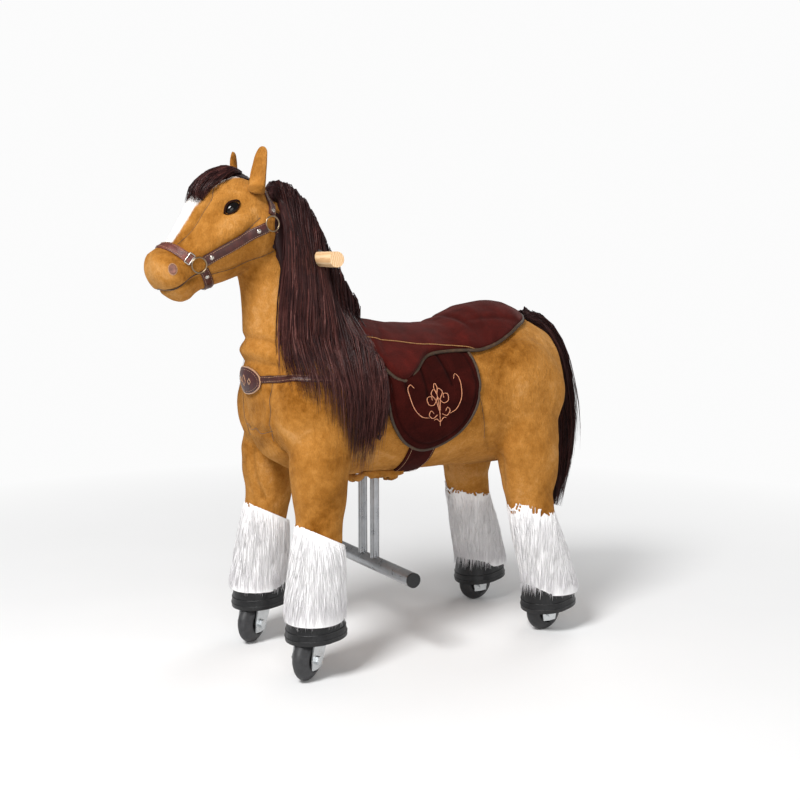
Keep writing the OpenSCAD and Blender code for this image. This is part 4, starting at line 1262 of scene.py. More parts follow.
def rivet(builder, centre, normal, radius=0.0034):
    """A domed rivet head with a turned rim."""
    n = normal.normalized()
    a = n.orthogonal().normalized()
    b = n.cross(a)
    verts, faces = [], []
    profile = ((1.0, -0.0004), (1.0, 0.0007), (0.86, 0.0011), (0.66, 0.0008), (0.60, 0.0016),
        (0.34, 0.0021), (0.0001, 0.0023))
    for r, h in profile:
        for k in range(20):
            t = 2 * math.pi * k / 20
            verts.append(centre + (a * math.cos(t) + b * math.sin(t)) * radius * r + n * h)
    for i in range(len(profile) - 1):
        for k in range(20):
            faces.append((i * 20 + k, i * 20 + (k + 1) % 20, (i + 1) * 20 + (k + 1) % 20,
                (i + 1) * 20 + k))
    faces.append(tuple(range(20))[::-1])
    faces.append(tuple((len(profile) - 1) * 20 + k for k in range(20)))
    builder.add(verts, faces)


class HORSE_OT_halter(bpy.types.Operator):
    """Buckle on the halter: noseband, cheek straps, crown, chin and throat straps, rings and rivets"""

    bl_idname = "horse.halter"
    bl_label = "Halter"

    def execute(self, context):
        s = context.scene.horse_tack
        tree, w, t = SKIN["tree"], s.halter_width, s.strap_thickness
        nose, cheek, crown, metal, pale, brass = (Builder() for _ in range(6))

        def lay(builder, path, width=w, closed=False, stitch=True, lift=0.0004, thread=pale):
            v, f, base, nor, tan = strap(tree, path, width, t, closed, lift)
            builder.add(v, f)
            if stitch:
                for k in (-1, 1):
                    edge = [b + ta.cross(n).normalized() * k * (width / 2 - 0.0024)
                        for b, n, ta in zip(base, nor, tan)]
                    if closed:
                        edge.append(edge[0])
                    stitches(tree, edge, 0.0022, 0.0012, 0.00036, lift + t + 0.0001, thread)
            return base, nor, tan

        rings = {}
        for side in (1, -1):
            rings["nose", side] = on_surface(tree, on_head(106, 46 * side, -13))
            rings["jaw", side] = on_surface(tree, on_head(-24, 60 * side, -20))
            # the noseband, from ring over the nose to the middle
            over = [on_head(112, 50 * side, -4), on_head(116, 46 * side, 10),
                on_head(120, 36 * side, 24),
                    on_head(124, 18 * side, 34), on_head(126, 0, 38)]
            lay(nose, [on_surface(tree, p)[0] for p in over])
            # the chin strap, from ring under the jaw to the middle
            under = [on_head(103, 46 * side, -25), on_head(102, 42 * side, -42),
                on_head(101, 22 * side, -56), on_head(100, 0, -60)]
            lay(cheek, [on_surface(tree, p)[0] for p in under])
            # the cheek strap, from ring to ring
            a, b = rings["nose", side][0], rings["jaw", side][0]
            path = [a.lerp(b, k) for k in (0.085, 0.3, 0.5, 0.7, 0.91)]
            base, nor, tan = lay(cheek, [on_surface(tree, p)[0] for p in path], w * 1.12)
            for k in (0.10, 0.86):
                i = round(k * (len(base) - 1))
                rivet(metal, base[i] + nor[i] * (t + 0.0004), nor[i])
            # the crown, from ring up behind the ear
            up = [on_head(-35, 60 * side, -10), on_head(-58, 56 * side, 6),
                on_head(-80, 48 * side, 20),
                  on_head(-94, 36 * side, 30), on_head(-102, 18 * side, 40), on_head(-104, 0, 44)]
            base, nor, tan = lay(crown, [on_surface(tree, p)[0] for p in up], 0.013)
            i = round(0.12 * (len(base) - 1))
            rivet(metal, base[i] + nor[i] * (t + 0.0004), nor[i])
            # the throat strap, from ring down under the jaw
            down = [on_head(-29, 60 * side, -31), on_head(-33, 54 * side, -46),
                on_head(-36, 40 * side, -58),
                    on_head(-37, 20 * side, -64), on_head(-37, 0, -66)]
            lay(crown, [on_surface(tree, p)[0] for p in down], 0.013)
            i_pts = [on_surface(tree, p)[0] for p in under]
            q, n = on_surface(tree, i_pts[0].lerp(i_pts[1], 0.8))
            rivet(metal, q + n * (t + 0.0004), n)
            # the rings, standing a little off the cheek
            for key in ("nose", "jaw"):
                c, n = rings[key, side]
                n = (n * 0.5 + Vector((0, side, 0)) * 0.8).normalized()
                a = n.orthogonal().normalized()
                b = n.cross(a)
                loop = [c + n * 0.0034 + (a * math.cos(x) + b * math.sin(x)) * 0.0118
                    for x in (2 * math.pi * k / 44 for k in range(44))]
                brass.add(*tube(loop, 0.0012, 10, closed=True))
            # the noseband's keeper: a flat metal loop
            q, n = on_surface(tree, on_head(113, 47 * side, 3))
            run_dir = (on_surface(tree, on_head(116, 46 * side, 10))[0] - on_surface(tree,
                on_head(112, 50 * side, -4))[0]).normalized()
            across = run_dir.cross(n).normalized()
            lift = t + 0.0012
            corners = [(-1, -1), (1, -1), (1, 1), (-1, 1)]
            loop = [q + n * lift + across * x * (w / 2 + 0.0008) + run_dir * y * 0.0042
                for x, y in corners]
            square = []
            for k in range(4):
                for m in range(5):
                    square.append(loop[k].lerp(loop[(k + 1) % 4], m / 5))
            metal.add(*tube(square, 0.0010, 8, closed=True))
        noseband = nose.make("noseband_leather")
        cheeks = cheek.make("cheek_straps_leather")
        crowns = crown.make("crown_straps_leather")
        for obj, finish, node_name in ((noseband, "nose leather", "halter_noseband"),
            (cheeks, "halter", "halter_cheek_straps"),
                                       (crowns, "halter", "halter_crown_strap")):
            shade(obj, 40)
            put(obj, FINISH[finish], "body", [node_name])
        fittings = metal.make("halter_fittings")
        shade(fittings, 40)
        put(fittings, FINISH["nickel"], "body", ["halter_rivets"])
        loops = brass.make("halter_loops")
        shade(loops)
        put(loops, FINISH["bronze"], "body", ["halter_rings"])
        thread = pale.make("halter_stitching")
        put(thread, FINISH["tan thread"], "body")
        return {"FINISHED"}


class HORSE_OT_breast_strap(bpy.types.Operator):
    """Lay the breast strap round the chest, with its oval badge"""

    bl_idname = "horse.breast_strap"
    bl_label = "Breast Strap and Badge"

    def execute(self, context):
        tree, t = SKIN["tree"], context.scene.horse_tack.strap_thickness
        bands, pale, motif = Builder(), Builder(), Builder()
        lo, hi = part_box("chest_badge")
        for side in (1, -1):
            path = [on_surface(tree, p)[0] for p in (
                Vector((0.250, 0.030 * side, 0.478)), Vector((0.236, 0.070 * side, 0.483)),
                Vector((0.200, 0.112 * side, 0.487)),
                Vector((0.150, 0.135 * side, 0.489)), Vector((0.105, 0.140 * side, 0.490)))]
            v, f, base, nor, tan = strap(tree, path, 0.0115, 0.0028)
            bands.add(v, f)
            for k in (-1, 1):
                edge = [b + ta.cross(n).normalized() * k * 0.0036
                    for b, n, ta in zip(base, nor, tan)]
                stitches(tree, edge, 0.0022, 0.0012, 0.0004, 0.0034, pale)
        c = Vector((hi.x, 0, (lo.z + hi.z) / 2))
        ry, rz = 0.0480, 0.0225
        rows, cols = 9, 56
        verts, faces = [], []
        for layer in (1, 0):
            for r in range(rows):
                for k in range(cols):
                    a = 2 * math.pi * k / cols
                    s = r / (rows - 1)
                    q, n = on_surface(tree, c + Vector((0, ry * math.cos(a), rz * math.sin(a))) * s)
                    n = (n + Vector((1.5, 0, 0))).normalized()
                    crown_h = 0.0046 + 0.0016 * (1 - s * s)
                    verts.append(q + n * (crown_h if layer else 0.0006))
        half = rows * cols
        for layer in (0, 1):
            for r in range(rows - 1):
                for k in range(cols):
                    f = (layer * half + r * cols + k, layer * half + r * cols + (k + 1) % cols,
                         layer * half + (r + 1) * cols + (k + 1) % cols,
                         layer * half + (r + 1) * cols + k)
                    faces.append(f)
        for k in range(cols):
            a, b = (rows - 1) * cols + k, (rows - 1) * cols + (k + 1) % cols
            faces.append((a, b, half + b, half + a))
        plate = mesh_object("badge_leather", verts, faces)
        only(plate)
        bpy.ops.object.mode_set(mode="EDIT")
        bpy.ops.mesh.select_all(action="SELECT")
        bpy.ops.mesh.remove_doubles(threshold=1e-5)
        bpy.ops.mesh.normals_make_consistent(inside=False)
        bpy.ops.object.mode_set(mode="OBJECT")
        shade(plate, 40)
        put(plate, FINISH["badge"], "body", ["chest_badge"])

        def on_badge(y, z, lift=0.0):
            q, n = on_surface(tree, c + Vector((0, y, z)))
            n = (n + Vector((1.5, 0, 0))).normalized()
            s = min(1, math.hypot(y / ry, z / rz))
            return q + n * (0.0046 + 0.0016 * (1 - s * s) + lift)

        edge = [on_badge(ry * math.cos(a), rz * math.sin(a), -0.001)
            for a in (2 * math.pi * k / 64 for k in range(64))]
        pale_edge = tube(edge, 0.0013, 8, closed=True)
        motif.add(*pale_edge)
        inner = [on_badge(0.87 * ry * math.cos(a), 0.83 * rz * math.sin(a), 0.0003)
            for a in (2 * math.pi * k / 84 for k in range(85))]
        for k in range(0, 84, 2):
            motif.add(*tube([inner[k], inner[k].lerp(inner[k + 1], 0.8)], 0.00035, 5))
        # a plain sewn lozenge between two sprigs
        for y, z, r in ((0, 0, 0.0095), (0.019, 0, 0.0055), (-0.019, 0, 0.0055)):
            loop = [on_badge(y + dy * r * 0.8, z + dz * r, 0.0004)
                for dy, dz in ((1, 0), (0, 1), (-1, 0), (0, -1))]
            ring = []
            for k in range(4):
                for m in range(4):
                    ring.append(loop[k].lerp(loop[(k + 1) % 4], m / 4))
            motif.add(*tube(ring, 0.00055, 6, closed=True))
        straps = bands.make("breast_strap_leather")
        shade(straps, 40)
        put(straps, FINISH["halter"], "body", ["breast_strap"])
        thread = pale.make("breast_strap_stitching")
        put(thread, FINISH["tan thread"], "body")
        sewn = motif.make("badge_sewing")
        shade(sewn)
        put(sewn, FINISH["tan thread"], "body")
        return {"FINISHED"}


# ------------------------------------------------------------------ saddle, flaps and girth

# [place along the back, half angle round the trunk from the top, in degrees]
SEAT_EDGE = [(0.094, 8), (0.087, 30), (0.075, 50), (0.052, 65), (0.027, 71), (0.004, 65),
    (-0.031, 51), (-0.083, 47.5),
             (-0.132, 49), (-0.174, 45), (-0.212, 37), (-0.242, 29), (-0.266, 20), (-0.281, 10),
             (-0.288, 2)]
# thickness of the seat along the middle of the back
SEAT_RISE = [(0.10, 0.013), (0.03, 0.016), (-0.04, 0.013), (-0.10, 0.013), (-0.128, 0.022),
    (-0.165, 0.031), (-0.215, 0.028),
             (-0.262, 0.018), (-0.29, 0.009)]
FLAP_EDGE = [(0.064, 0.512), (0.0635, 0.478), (0.060, 0.440), (0.049, 0.402), (0.020, 0.369),
    (-0.022, 0.354), (-0.070, 0.373),
             (-0.105, 0.412), (-0.119, 0.460), (-0.117, 0.500), (-0.104, 0.522), (-0.060, 0.527),
             (0.010, 0.522), (0.046, 0.522)]
SEAT = {}


def table_at(rows, x):
    xs = [r[0] for r in rows][::-1]
    ys = [r[1] for r in rows][::-1]
    return float(np.interp(x, xs, ys))


def seat_point(x, angle, lift=0.0):
    """A point over the back: angle in degrees round the trunk from the top, to the left."""
    a = math.radians(angle)
    out = Vector((0, math.sin(a), math.cos(a)))
    far = Vector((x, 0, 0.43)) + out * 0.4
    hit = SKIN["tree"].ray_cast(far, -out)
    if hit[0] is None:
        raise RuntimeError("the seat misses the back")
    n = (hit[1] + out).normalized()
    return hit[0] + n * lift, n


class HORSE_OT_saddle(bpy.types.Operator):
    """Upholster the seat: a shaped pad with a raised cantle, edge binding and a gold seam"""

    bl_idname = "horse.saddle"
    bl_label = "Saddle Seat"

    def execute(self, context):
        stations = [0.094 - 0.382 * k / 84 for k in range(85)]
        across = 52
        edge_rows = resample([Vector((x, a / 1000, 0)) for x, a in SEAT_EDGE], 0.002)
        edge = [(p.x, p.y * 1000) for p in edge_rows]

        def top_lift(x, s):
            """Lift over the skin; s runs from 0 on the spine to 1 at the edge."""
            mid = table_at(SEAT_RISE, x)
            over_flap = min(1.0, max(0.0, (x + 0.150) / 0.03), max(0.0, (0.085 - x) / 0.02))
            brim = 0.0078 + 0.0105 * over_flap
            full = mid * (1 - s ** 2.2) + brim * s ** 2.2
            end = min(1.0, max(0.0, (0.096 - x) / 0.012), max(0.0, (x + 0.291) / 0.014))
            full = 0.0065 + (full - 0.0065) * math.sqrt(max(0.0, end))
            return full * (1 - 0.45 * max(0.0, (s - 0.93) / 0.07) ** 2)

        verts, faces = [], []
        for layer in (1, 0):
            for x in stations:
                half = table_at(edge, x)
                for k in range(across + 1):
                    s = 2 * k / across - 1
                    s = math.copysign(abs(s) ** 0.9, s)
                    p, n = seat_point(x, half * s, top_lift(x, abs(s)) if layer else 0.0012)
                    verts.append(p)
        per = across + 1
        half_n = len(stations) * per
        for layer in (0, 1):
            for i in range(len(stations) - 1):
                for k in range(across):
                    a = layer * half_n + i * per + k
                    faces.append((a, a + 1, a + per + 1, a + per))
        rim = [i * per for i in range(len(stations))]
        rim += [(len(stations) - 1) * per + k for k in range(1, per)]
        rim += [i * per + across for i in range(len(stations) - 2, -1, -1)]
        rim += [k for k in range(across - 1, 0, -1)]
        for a, b in zip(rim, rim[1:] + rim[:1]):
            faces.append((a, b, half_n + b, half_n + a))
        seat = mesh_object("saddle_suede", verts, faces)
        outwards(seat)
        co, nor = coords(seat), vertex_normals(seat)
        # the fold where the cantle rises, the welt lines of the pommel, and the seat's own softness
        top = nor[:, 2] > 0.1
        y = np.abs(co[:, 1])
        fold_x = -0.123 - 0.55 * np.clip(y - 0.02, 0, 1) * 0.35
        fold = np.exp(-(((co[:, 0] - fold_x) / 0.0048) ** 2)) * np.clip((0.085 - y) / 0.03, 0,
            1) * top
        crown = np.exp(-(((y - 0.058 - 0.10 * np.clip(-0.13 - co[:, 0], 0, 1))
            / 0.004) ** 2)) * np.clip((-0.13 - co[:, 0]) / 0.02, 0, 1) * top
        front = np.exp(-(((co[:, 0] - (0.030 + 0.35 * np.clip(y - 0.03, 0, 1)))
            / 0.0035) ** 2)) * np.clip((y - 0.02) / 0.02, 0, 1) * top
        dip = 0.0040 * fold + 0.0022 * crown + 0.0016 * front
        rough = np.array([noise.noise(Vector(c) * 22) + 0.4 * noise.noise(Vector(c) * 60)
            for c in co]) * 0.0013 * top
        set_coords(seat, co + nor * (rough - dip)[:, None])
        # the seam mask darkens the suede in the cantle fold and the welt lines: painted shade
        set_mask(seat, "seam", np.clip(0.55 * fold + 0.45 * crown + 0.4 * front, 0, 1))
        m = seat.modifiers.new("Round", "SUBSURF")
        m.levels = m.render_levels = 1
        apply_modifiers(seat)
        shade(seat, 60)
        SEAT["tree"] = surface(seat)

        binding = Builder()
        r = context.scene.horse_tack.piping_radius
        outline = []
        for x in stations[2:-1]:
            outline.append(seat_point(x, table_at(edge, x) + 0.6,
                max(0.0046, top_lift(x, 1.0) * 0.78))[0])
        back = [seat_point(stations[-2] - 0.001, table_at(edge, stations[-2]) * s, 0.0052)[0]
            for s in (0.5, 0, -0.5)]
        right = [Vector((p.x, -p.y, p.z)) for p in outline[::-1]]
        front_edge = [seat_point(0.0945, 8 * s, 0.0052)[0] for s in (-0.5, 0, 0.5)]
        loop = resample(outline + back + right + front_edge, 0.004, closed=True)
        binding.add(*tube(loop, r, 10, closed=True))
        bind = binding.make("saddle_binding")
        shade(bind)
        gold = Builder()
        for side in (1, -1):
            line = [SEAT["tree"].find_nearest(Vector((x, y * side, z)))[0] for x, y, z in (
                (0.078, 0.096, 0.556), (0.045, 0.099, 0.550), (0.012, 0.101, 0.547),
                (-0.022, 0.104, 0.541),
                (-0.055, 0.107, 0.533), (-0.088, 0.110, 0.524), (-0.112, 0.113, 0.516),
                (-0.128, 0.116, 0.508))]
            stitches(SEAT["tree"], line, 0.0034, 0.0005, 0.0008, 0.0005, gold)
        thread = gold.make("saddle_gold_seam")
        put(seat, FINISH["suede"], "body", ["saddle_seat"])
        put(bind, FINISH["piping"], "body")
        put(thread, FINISH["gold thread"], "body")
        return {"FINISHED"}


class HORSE_OT_flaps(bpy.types.Operator):
    """Hang a quilted flap on each side, bound at the edge and embroidered with a plain scroll"""

    bl_idname = "horse.flaps"
    bl_label = "Saddle Flaps"

    def execute(self, context):
        tree = SKIN["tree"]
        binding, embroidery = Builder(), Builder()
        for side, name in ((1, "left"), (-1, "right")):
            def lie(x, z, lift):
                hit = tree.ray_cast(Vector((x, 0.35 * side, z)), Vector((0, -side, 0)))
                n = (hit[1] + Vector((0, side, 0)) * 0.8).normalized()
                return hit[0] + n * lift, n

            ring = resample([Vector((x, 0, z)) for x, z in FLAP_EDGE], 0.0045, closed=True)
            centre = Vector((-0.026, 0, 0.448))
            rows, cols = 22, len(ring)
            verts, faces = [], []
            for layer in (1, 0):
                for r in range(rows + 1):
                    s = r / rows
                    for p in ring:
                        q = centre.lerp(p, s)
                        lift = 0.0046 + 0.0066 * (1 - s ** 3) if layer else 0.0034
                        if layer:
                            lift *= 0.55 + 0.45 * min(1.0, max(0.0, (0.512 - q.z) / 0.05))
                        if layer and s > 0.9:
                            lift -= 0.0008 * ((s - 0.9) / 0.1) ** 2
                        verts.append(lie(q.x, q.z, lift + (0.0022 if layer else 0))[0])
            half_n = (rows + 1) * cols
            for layer in (0, 1):
                for r in range(rows):
                    for k in range(cols):
                        a = layer * half_n + r * cols + k
                        b = layer * half_n + r * cols + (k + 1) % cols
                        faces.append((a, b, b + cols, a + cols))
            for k in range(cols):
                a, b = rows * cols + k, rows * cols + (k + 1) % cols
                faces.append((a, b, half_n + b, half_n + a))
            flap = mesh_object("saddle_flap_padded_" + name, verts, faces)
            only(flap)
            bpy.ops.object.mode_set(mode="EDIT")
            bpy.ops.mesh.select_all(action="SELECT")
            bpy.ops.mesh.remove_doubles(threshold=1e-6)
            bpy.ops.mesh.normals_make_consistent(inside=False)
            bpy.ops.object.mode_set(mode="OBJECT")
            m = flap.modifiers.new("Round", "SUBSURF")
            m.levels = m.render_levels = 1
            apply_modifiers(flap)
            co, nor = coords(flap), vertex_normals(flap)
            x, z = co[:, 0], co[:, 2]
            outer = np.clip(nor[:, 1] * side * 2, 0, 1)
            seam = np.zeros(len(co))
            # the sewn channels: three short darts from the top, and one round inside the edge
            for x0, z0, x1, z1, wide in ((0.030, 0.52, 0.028, 0.455, 0.0030),
                (-0.006, 0.52, -0.010, 0.440, 0.0030),
                                         (-0.048, 0.525, -0.060, 0.462, 0.0030)):
                t = np.clip(((x - x0) * (x1 - x0) + (z - z0) * (z1 - z0))
                    / ((x1 - x0) ** 2 + (z1 - z0) ** 2), 0, 1)
                d = np.hypot(x - x0 - t * (x1 - x0), z - z0 - t * (z1 - z0))
                seam = np.maximum(seam, np.exp(-((d / wide) ** 2)))
            ang = np.arctan2(z - centre.z, x - centre.x)
            edge_r = np.array([math.hypot(p.x - centre.x, p.z - centre.z) for p in ring])
            edge_a = np.array([math.atan2(p.z - centre.z, p.x - centre.x) for p in ring])
            order = np.argsort(edge_a)
            full = np.interp(ang, edge_a[order], edge_r[order], period=2 * math.pi)
            s = np.hypot(x - centre.x, z - centre.z) / full
            seam = np.maximum(seam, 0.7 * np.exp(-(((s - 0.90) / 0.022) ** 2)))
            rough = np.array([noise.noise(Vector(c) * 30) for c in co]) * 0.0008
            set_coords(flap, co + nor * ((rough - 0.0022 * seam) * outer)[:, None])
            # the seam mask darkens the suede in the quilted channels: painted shade
            set_mask(flap, "seam", seam * outer * 0.9)
            shade(flap, 60)
            cover = surface(flap)
            put(flap, FINISH["flap"], "body", ["saddle_flap_" + name])
            loop = [lie(centre.lerp(p, 1.004).x, centre.lerp(p, 1.004).z, 0.0055)[0] for p in ring]
            binding.add(*tube(loop, 0.0026, 9, closed=True))

            # a generic scroll: two long crooks round a sprig of curls
            lines = []
            for way in (1, -1):
                lines.append([(x * way, z) for x, z in (
                    (0.036, 0.034), (0.041, 0.040), (0.046, 0.034), (0.045, 0.018), (0.040, 0.002),
                    (0.030, -0.010), (0.018, -0.014))])
                lines.append([(x * way, z) for x, z in (
                    (0.004, -0.012), (0.012, -0.016), (0.018, -0.010), (0.014, -0.004),
                    (0.010, -0.009))])
                lines.append([(x * way, z) for x, z in (
                    (0.000, 0.014), (0.008, 0.004), (0.017, 0.006), (0.018, 0.015), (0.011, 0.017),
                    (0.010, 0.011))])
                lines.append([(x * way, z) for x, z in (
                    (0.001, -0.006), (0.004, 0.010), (0.010, 0.020), (0.004, 0.026),
                    (0.000, 0.018))])
                lines.append([(x * way, z)
                    for x, z in ((0.0, -0.024), (0.006, -0.018), (0.010, -0.019))])
            lines.append([(0, 0.018), (0, 0.0), (0, -0.014), (0, -0.030)])
            lines.append([(0.0, 0.020), (0.003, 0.028), (0.0, 0.034), (-0.003, 0.028),
                (0.0, 0.020)])
            for flat in lines:
                tilt = math.radians(8)
                pts = []
                for dx, dz in flat:
                    px = centre.x - 0.004 + (dx * math.cos(tilt) + dz * math.sin(tilt)) * 1.12
                    pz = 0.428 + (dz * math.cos(tilt) - dx * math.sin(tilt)) * 1.12
                    hit = cover.ray_cast(Vector((px, 0.35 * side, pz)), Vector((0, -side, 0)))
                    pts.append(hit[0] + hit[1] * 0.0004)
                fine = [cover.find_nearest(p)[0] + Vector((0, 0.0004 * side, 0))
                    for p in resample(pts, 0.0016)]
                embroidery.add(*tube(fine, 0.00075, 6,
                    taper=lambda t: 0.75 + 0.25 * math.sin(math.pi * t)))
        bind = binding.make("flap_binding")
        shade(bind)
        put(bind, FINISH["piping"], "body")
        sewn = embroidery.make("flap_scrollwork")
        shade(sewn)
        put(sewn, FINISH["copper thread"], "body")
        return {"FINISHED"}


class HORSE_OT_girth(bpy.types.Operator):
    """Pass the girth under the belly and gather the hem where the footrest posts come out"""

    bl_idname = "horse.girth"
    bl_label = "Girth and Belly Hem"

    def execute(self, context):
        tree = SKIN["tree"]
        wide = girth_box[1].x - girth_box[0].x
        path = []
        for k in range(41):
            a = math.radians(80 + 200 * k / 40)
            out = Vector((0, math.sin(a), math.cos(a)))
            hit = tree.ray_cast(Vector((GIRTH_X, 0, 0.43)) + out * 0.4, -out)
            path.append(hit[0])
        v, f, base, nor, tan = strap(tree, path, wide, 0.0032, lift=0.0008, step=0.006, rows=11)
        b = Builder()
        b.add(v, f)
        girth = b.make("girth_webbing")
        set_mask(girth, "seam", np.zeros(len(girth.data.vertices)))
        shade(girth, 40)
        put(girth, FINISH["flap"], "body", ["girth_strap"])
        thread = Builder()
        for k in (-1, 1):
            edge = [p + t.cross(n).normalized() * k * (wide / 2 - 0.004)
                for p, n, t in zip(base, nor, tan)]
            stitches(tree, edge, 0.003, 0.0016, 0.0005, 0.0042, thread)
        sewn = thread.make("girth_stitching")
        put(sewn, FINISH["tan thread"], "body")

        hem = copy_nodes(["belly_gaiter"], "belly_hem")
        remesh(hem, 0.0028)
        keep_largest(hem)
        smooth(hem, 0.5, 6)
        co, nor = coords(hem), vertex_normals(hem)
        lo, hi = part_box("belly_gaiter")
        c = (lo + hi) / 2
        a = np.arctan2((co[:, 1] - c.y) * 0.75, co[:, 0] - c.x)
        far = np.hypot((co[:, 0] - c.x) / 0.04, (co[:, 1] - c.y) / 0.055)
        folds = 0.5 * np.sin(a * 11 + 3 * np.sin(a * 2)) + 0.3 * np.sin(a * 19 + 1.0)
        low = np.clip(-nor[:, 2] + 0.3, 0, 1)
        push = (0.0040 * folds * np.clip(far * 1.3, 0.2,
            1) + 0.0050 * np.exp(-(((far - 0.8) / 0.25) ** 2))) * low
        set_coords(hem, co + nor * push[:, None])
        # the seam mask darkens the hollows between the folds: painted shade
        set_mask(hem, "seam", np.clip(-folds, 0, 1) * 0.5)
        set_mask(hem, "blaze", np.zeros(len(co)))
        shade(hem)
        put(hem, FINISH["coat"], "body", ["belly_gaiter"])
        return {"FINISHED"}


# ------------------------------------------------------------------ hair


def hair(builder, pts, width, tones, flat=0.5, sides=3):
    """One tapering lock along a few points."""
    n = len(pts) - 1
    v, f = tube(pts, width, sides, flat=flat,
        taper=lambda t: max(0.08, (1 - t ** 2.2)) * (0.55 + 0.45 * min(1, t * 5)))
    tone = []
    for i in range(n + 1):
        tone += [tones[0] + (tones[1] - tones[0]) * i / n] * sides
    builder.add(v, f, tone)


def core(name, nodes, size, shrink, turns=8):
    """The dense under-layer of a tuft of hair, from its plain solid."""
    obj = copy_nodes(nodes, name)
    remesh(obj, size)
    keep_largest(obj, 0.05)
    smooth(obj, 0.5, turns)
    set_coords(obj, coords(obj) - vertex_normals(obj) * shrink)
    return obj


CREST = [(0.210, 0.776), (0.200, 0.794), (0.178, 0.787), (0.152, 0.764), (0.117, 0.706),
    (0.082, 0.637), (0.050, 0.590)]
FALL = [(0.219, 0.482), (0.210, 0.468), (0.190, 0.452), (0.160, 0.418), (0.124, 0.352),
    (0.097, 0.326), (0.064, 0.400)]
TAIL = [(-0.296, 0.566), (-0.328, 0.560), (-0.358, 0.532), (-0.380, 0.485), (-0.392, 0.430),
    (-0.399, 0.365), (-0.396, 0.300),
        (-0.387, 0.245), (-0.378, 0.200)]


def along(rows, t):
    """A point at share t of a list of points."""
    k = min(len(rows) - 1.0001, max(0, t) * (len(rows) - 1))
    i = int(k)
    return [a + (b - a) * (k - i) for a, b in zip(rows[i], rows[i + 1])]


class HORSE_OT_mane(bpy.types.Operator):
    """Set the mane: a dense core with combed locks that hang down both sides of the neck"""

    bl_idname = "horse.mane"
    bl_label = "Mane"

    def execute(self, context):
        h = context.scene.horse_hair
        under = core("mane_core", ["mane"], 0.0045, 0.0045)
        set_mask(under, "tone", np.full(len(under.data.vertices), 0.20))
        shade(under)
        tree = surface(under, SKIN["whole"]) if SKIN.get("whole") else surface(under)
        put(under, FINISH["hair"], "body", ["mane"])
        for side, name in ((1, "left"), (-1, "right")):
            rng = random.Random(h.seed + side)
            b = Builder()
            for _ in range(h.mane_locks):
                t = rng.random() ** 0.9
                clump = rng.random()
                layer = rng.random()
                x0, z0 = along(CREST, t)
                x1, z1 = along(FALL, t + rng.gauss(0, 0.025))
                length = (0.50 + 0.54 * rng.random() ** 0.40)
                x1 = x0 + (x1 - x0) * length + rng.gauss(0, 0.005)
                z1 = z0 + (z1 - z0) * length
                phase, sway = rng.random() * 6.3, rng.gauss(0, 0.0030)
                sit = 0.0010 + 0.0085 * layer
                pts, last = [], 0.0
                steps = 8
                for k in range(steps + 1):
                    f = k / steps
                    z = z0 + (z1 - z0) * f + 0.004 * math.sin(math.pi * min(1, f * 3)) * layer
                    x = x0 + (x1 - x0) * (f ** 1.15) + sway * math.sin(phase + 5 * f) * f
                    hit = tree.ray_cast(Vector((x, 0.32 * side, z)), Vector((0, -side, 0)), 0.32)
                    y = (abs(hit[0].y) if hit[0] is not None else 0.010) + sit
                    if k == 0:
                        y = min(y, 0.004 + 0.016 * rng.random())
                    y = max(y, last - 0.006)
                    last = y
                    pts.append(Vector((x, y * side, z)))
                # locks that sit further out get a lighter tone and those close to the neck a darker one:
                # painted light and shade; the lightest locks also carry the ramp's painted highlight, along
                # with the hair's own varied tone
                tone = 0.25 + 0.42 * clump ** 1.6 + 0.12 * layer
                hair(b, pts, 0.0010 + 0.0013 * rng.random() ** 2,
                    (tone * 0.75, min(1, tone * 1.15)))
            # short locks that stand over the crest
            for i in range(h.mane_locks // 4):
                t = rng.random()
                x0, z0 = along(CREST, t)
                x1, z1 = along(FALL, t)
                d = Vector((x1 - x0, 0, z1 - z0)).normalized()
                y0 = rng.uniform(-0.012, 0.004) * side
                reach = rng.uniform(0.05, 0.10)
                pts = []
                for k in range(6):
                    f = k / 5
                    x = x0 + d.x * reach * f - 0.004 * math.sin(math.pi * f)
                    z = z0 + 0.0075 * math.sin(math.pi * min(1, f * 1.6)) + d.z * reach * f ** 1.5
                    y = y0 + side * (0.030 * math.sin(f * 1.5) + 0.003)
                    hit = tree.find_nearest(Vector((x, y, z)))
                    away = (Vector((x, y, z)) - hit[0])
                    if away.dot(hit[1]) < 0.002:
                        x, y, z = hit[0] + hit[1] * (0.002 + 0.003 * rng.random())
                    pts.append(Vector((x, y, z)))
                hair(b, pts, 0.0016, (0.30, 0.30 + 0.35 * rng.random()))
            locks = b.make("mane_locks_" + name, fix=False)
            shade(locks)
            put(locks, FINISH["hair"], "body")
        return {"FINISHED"}


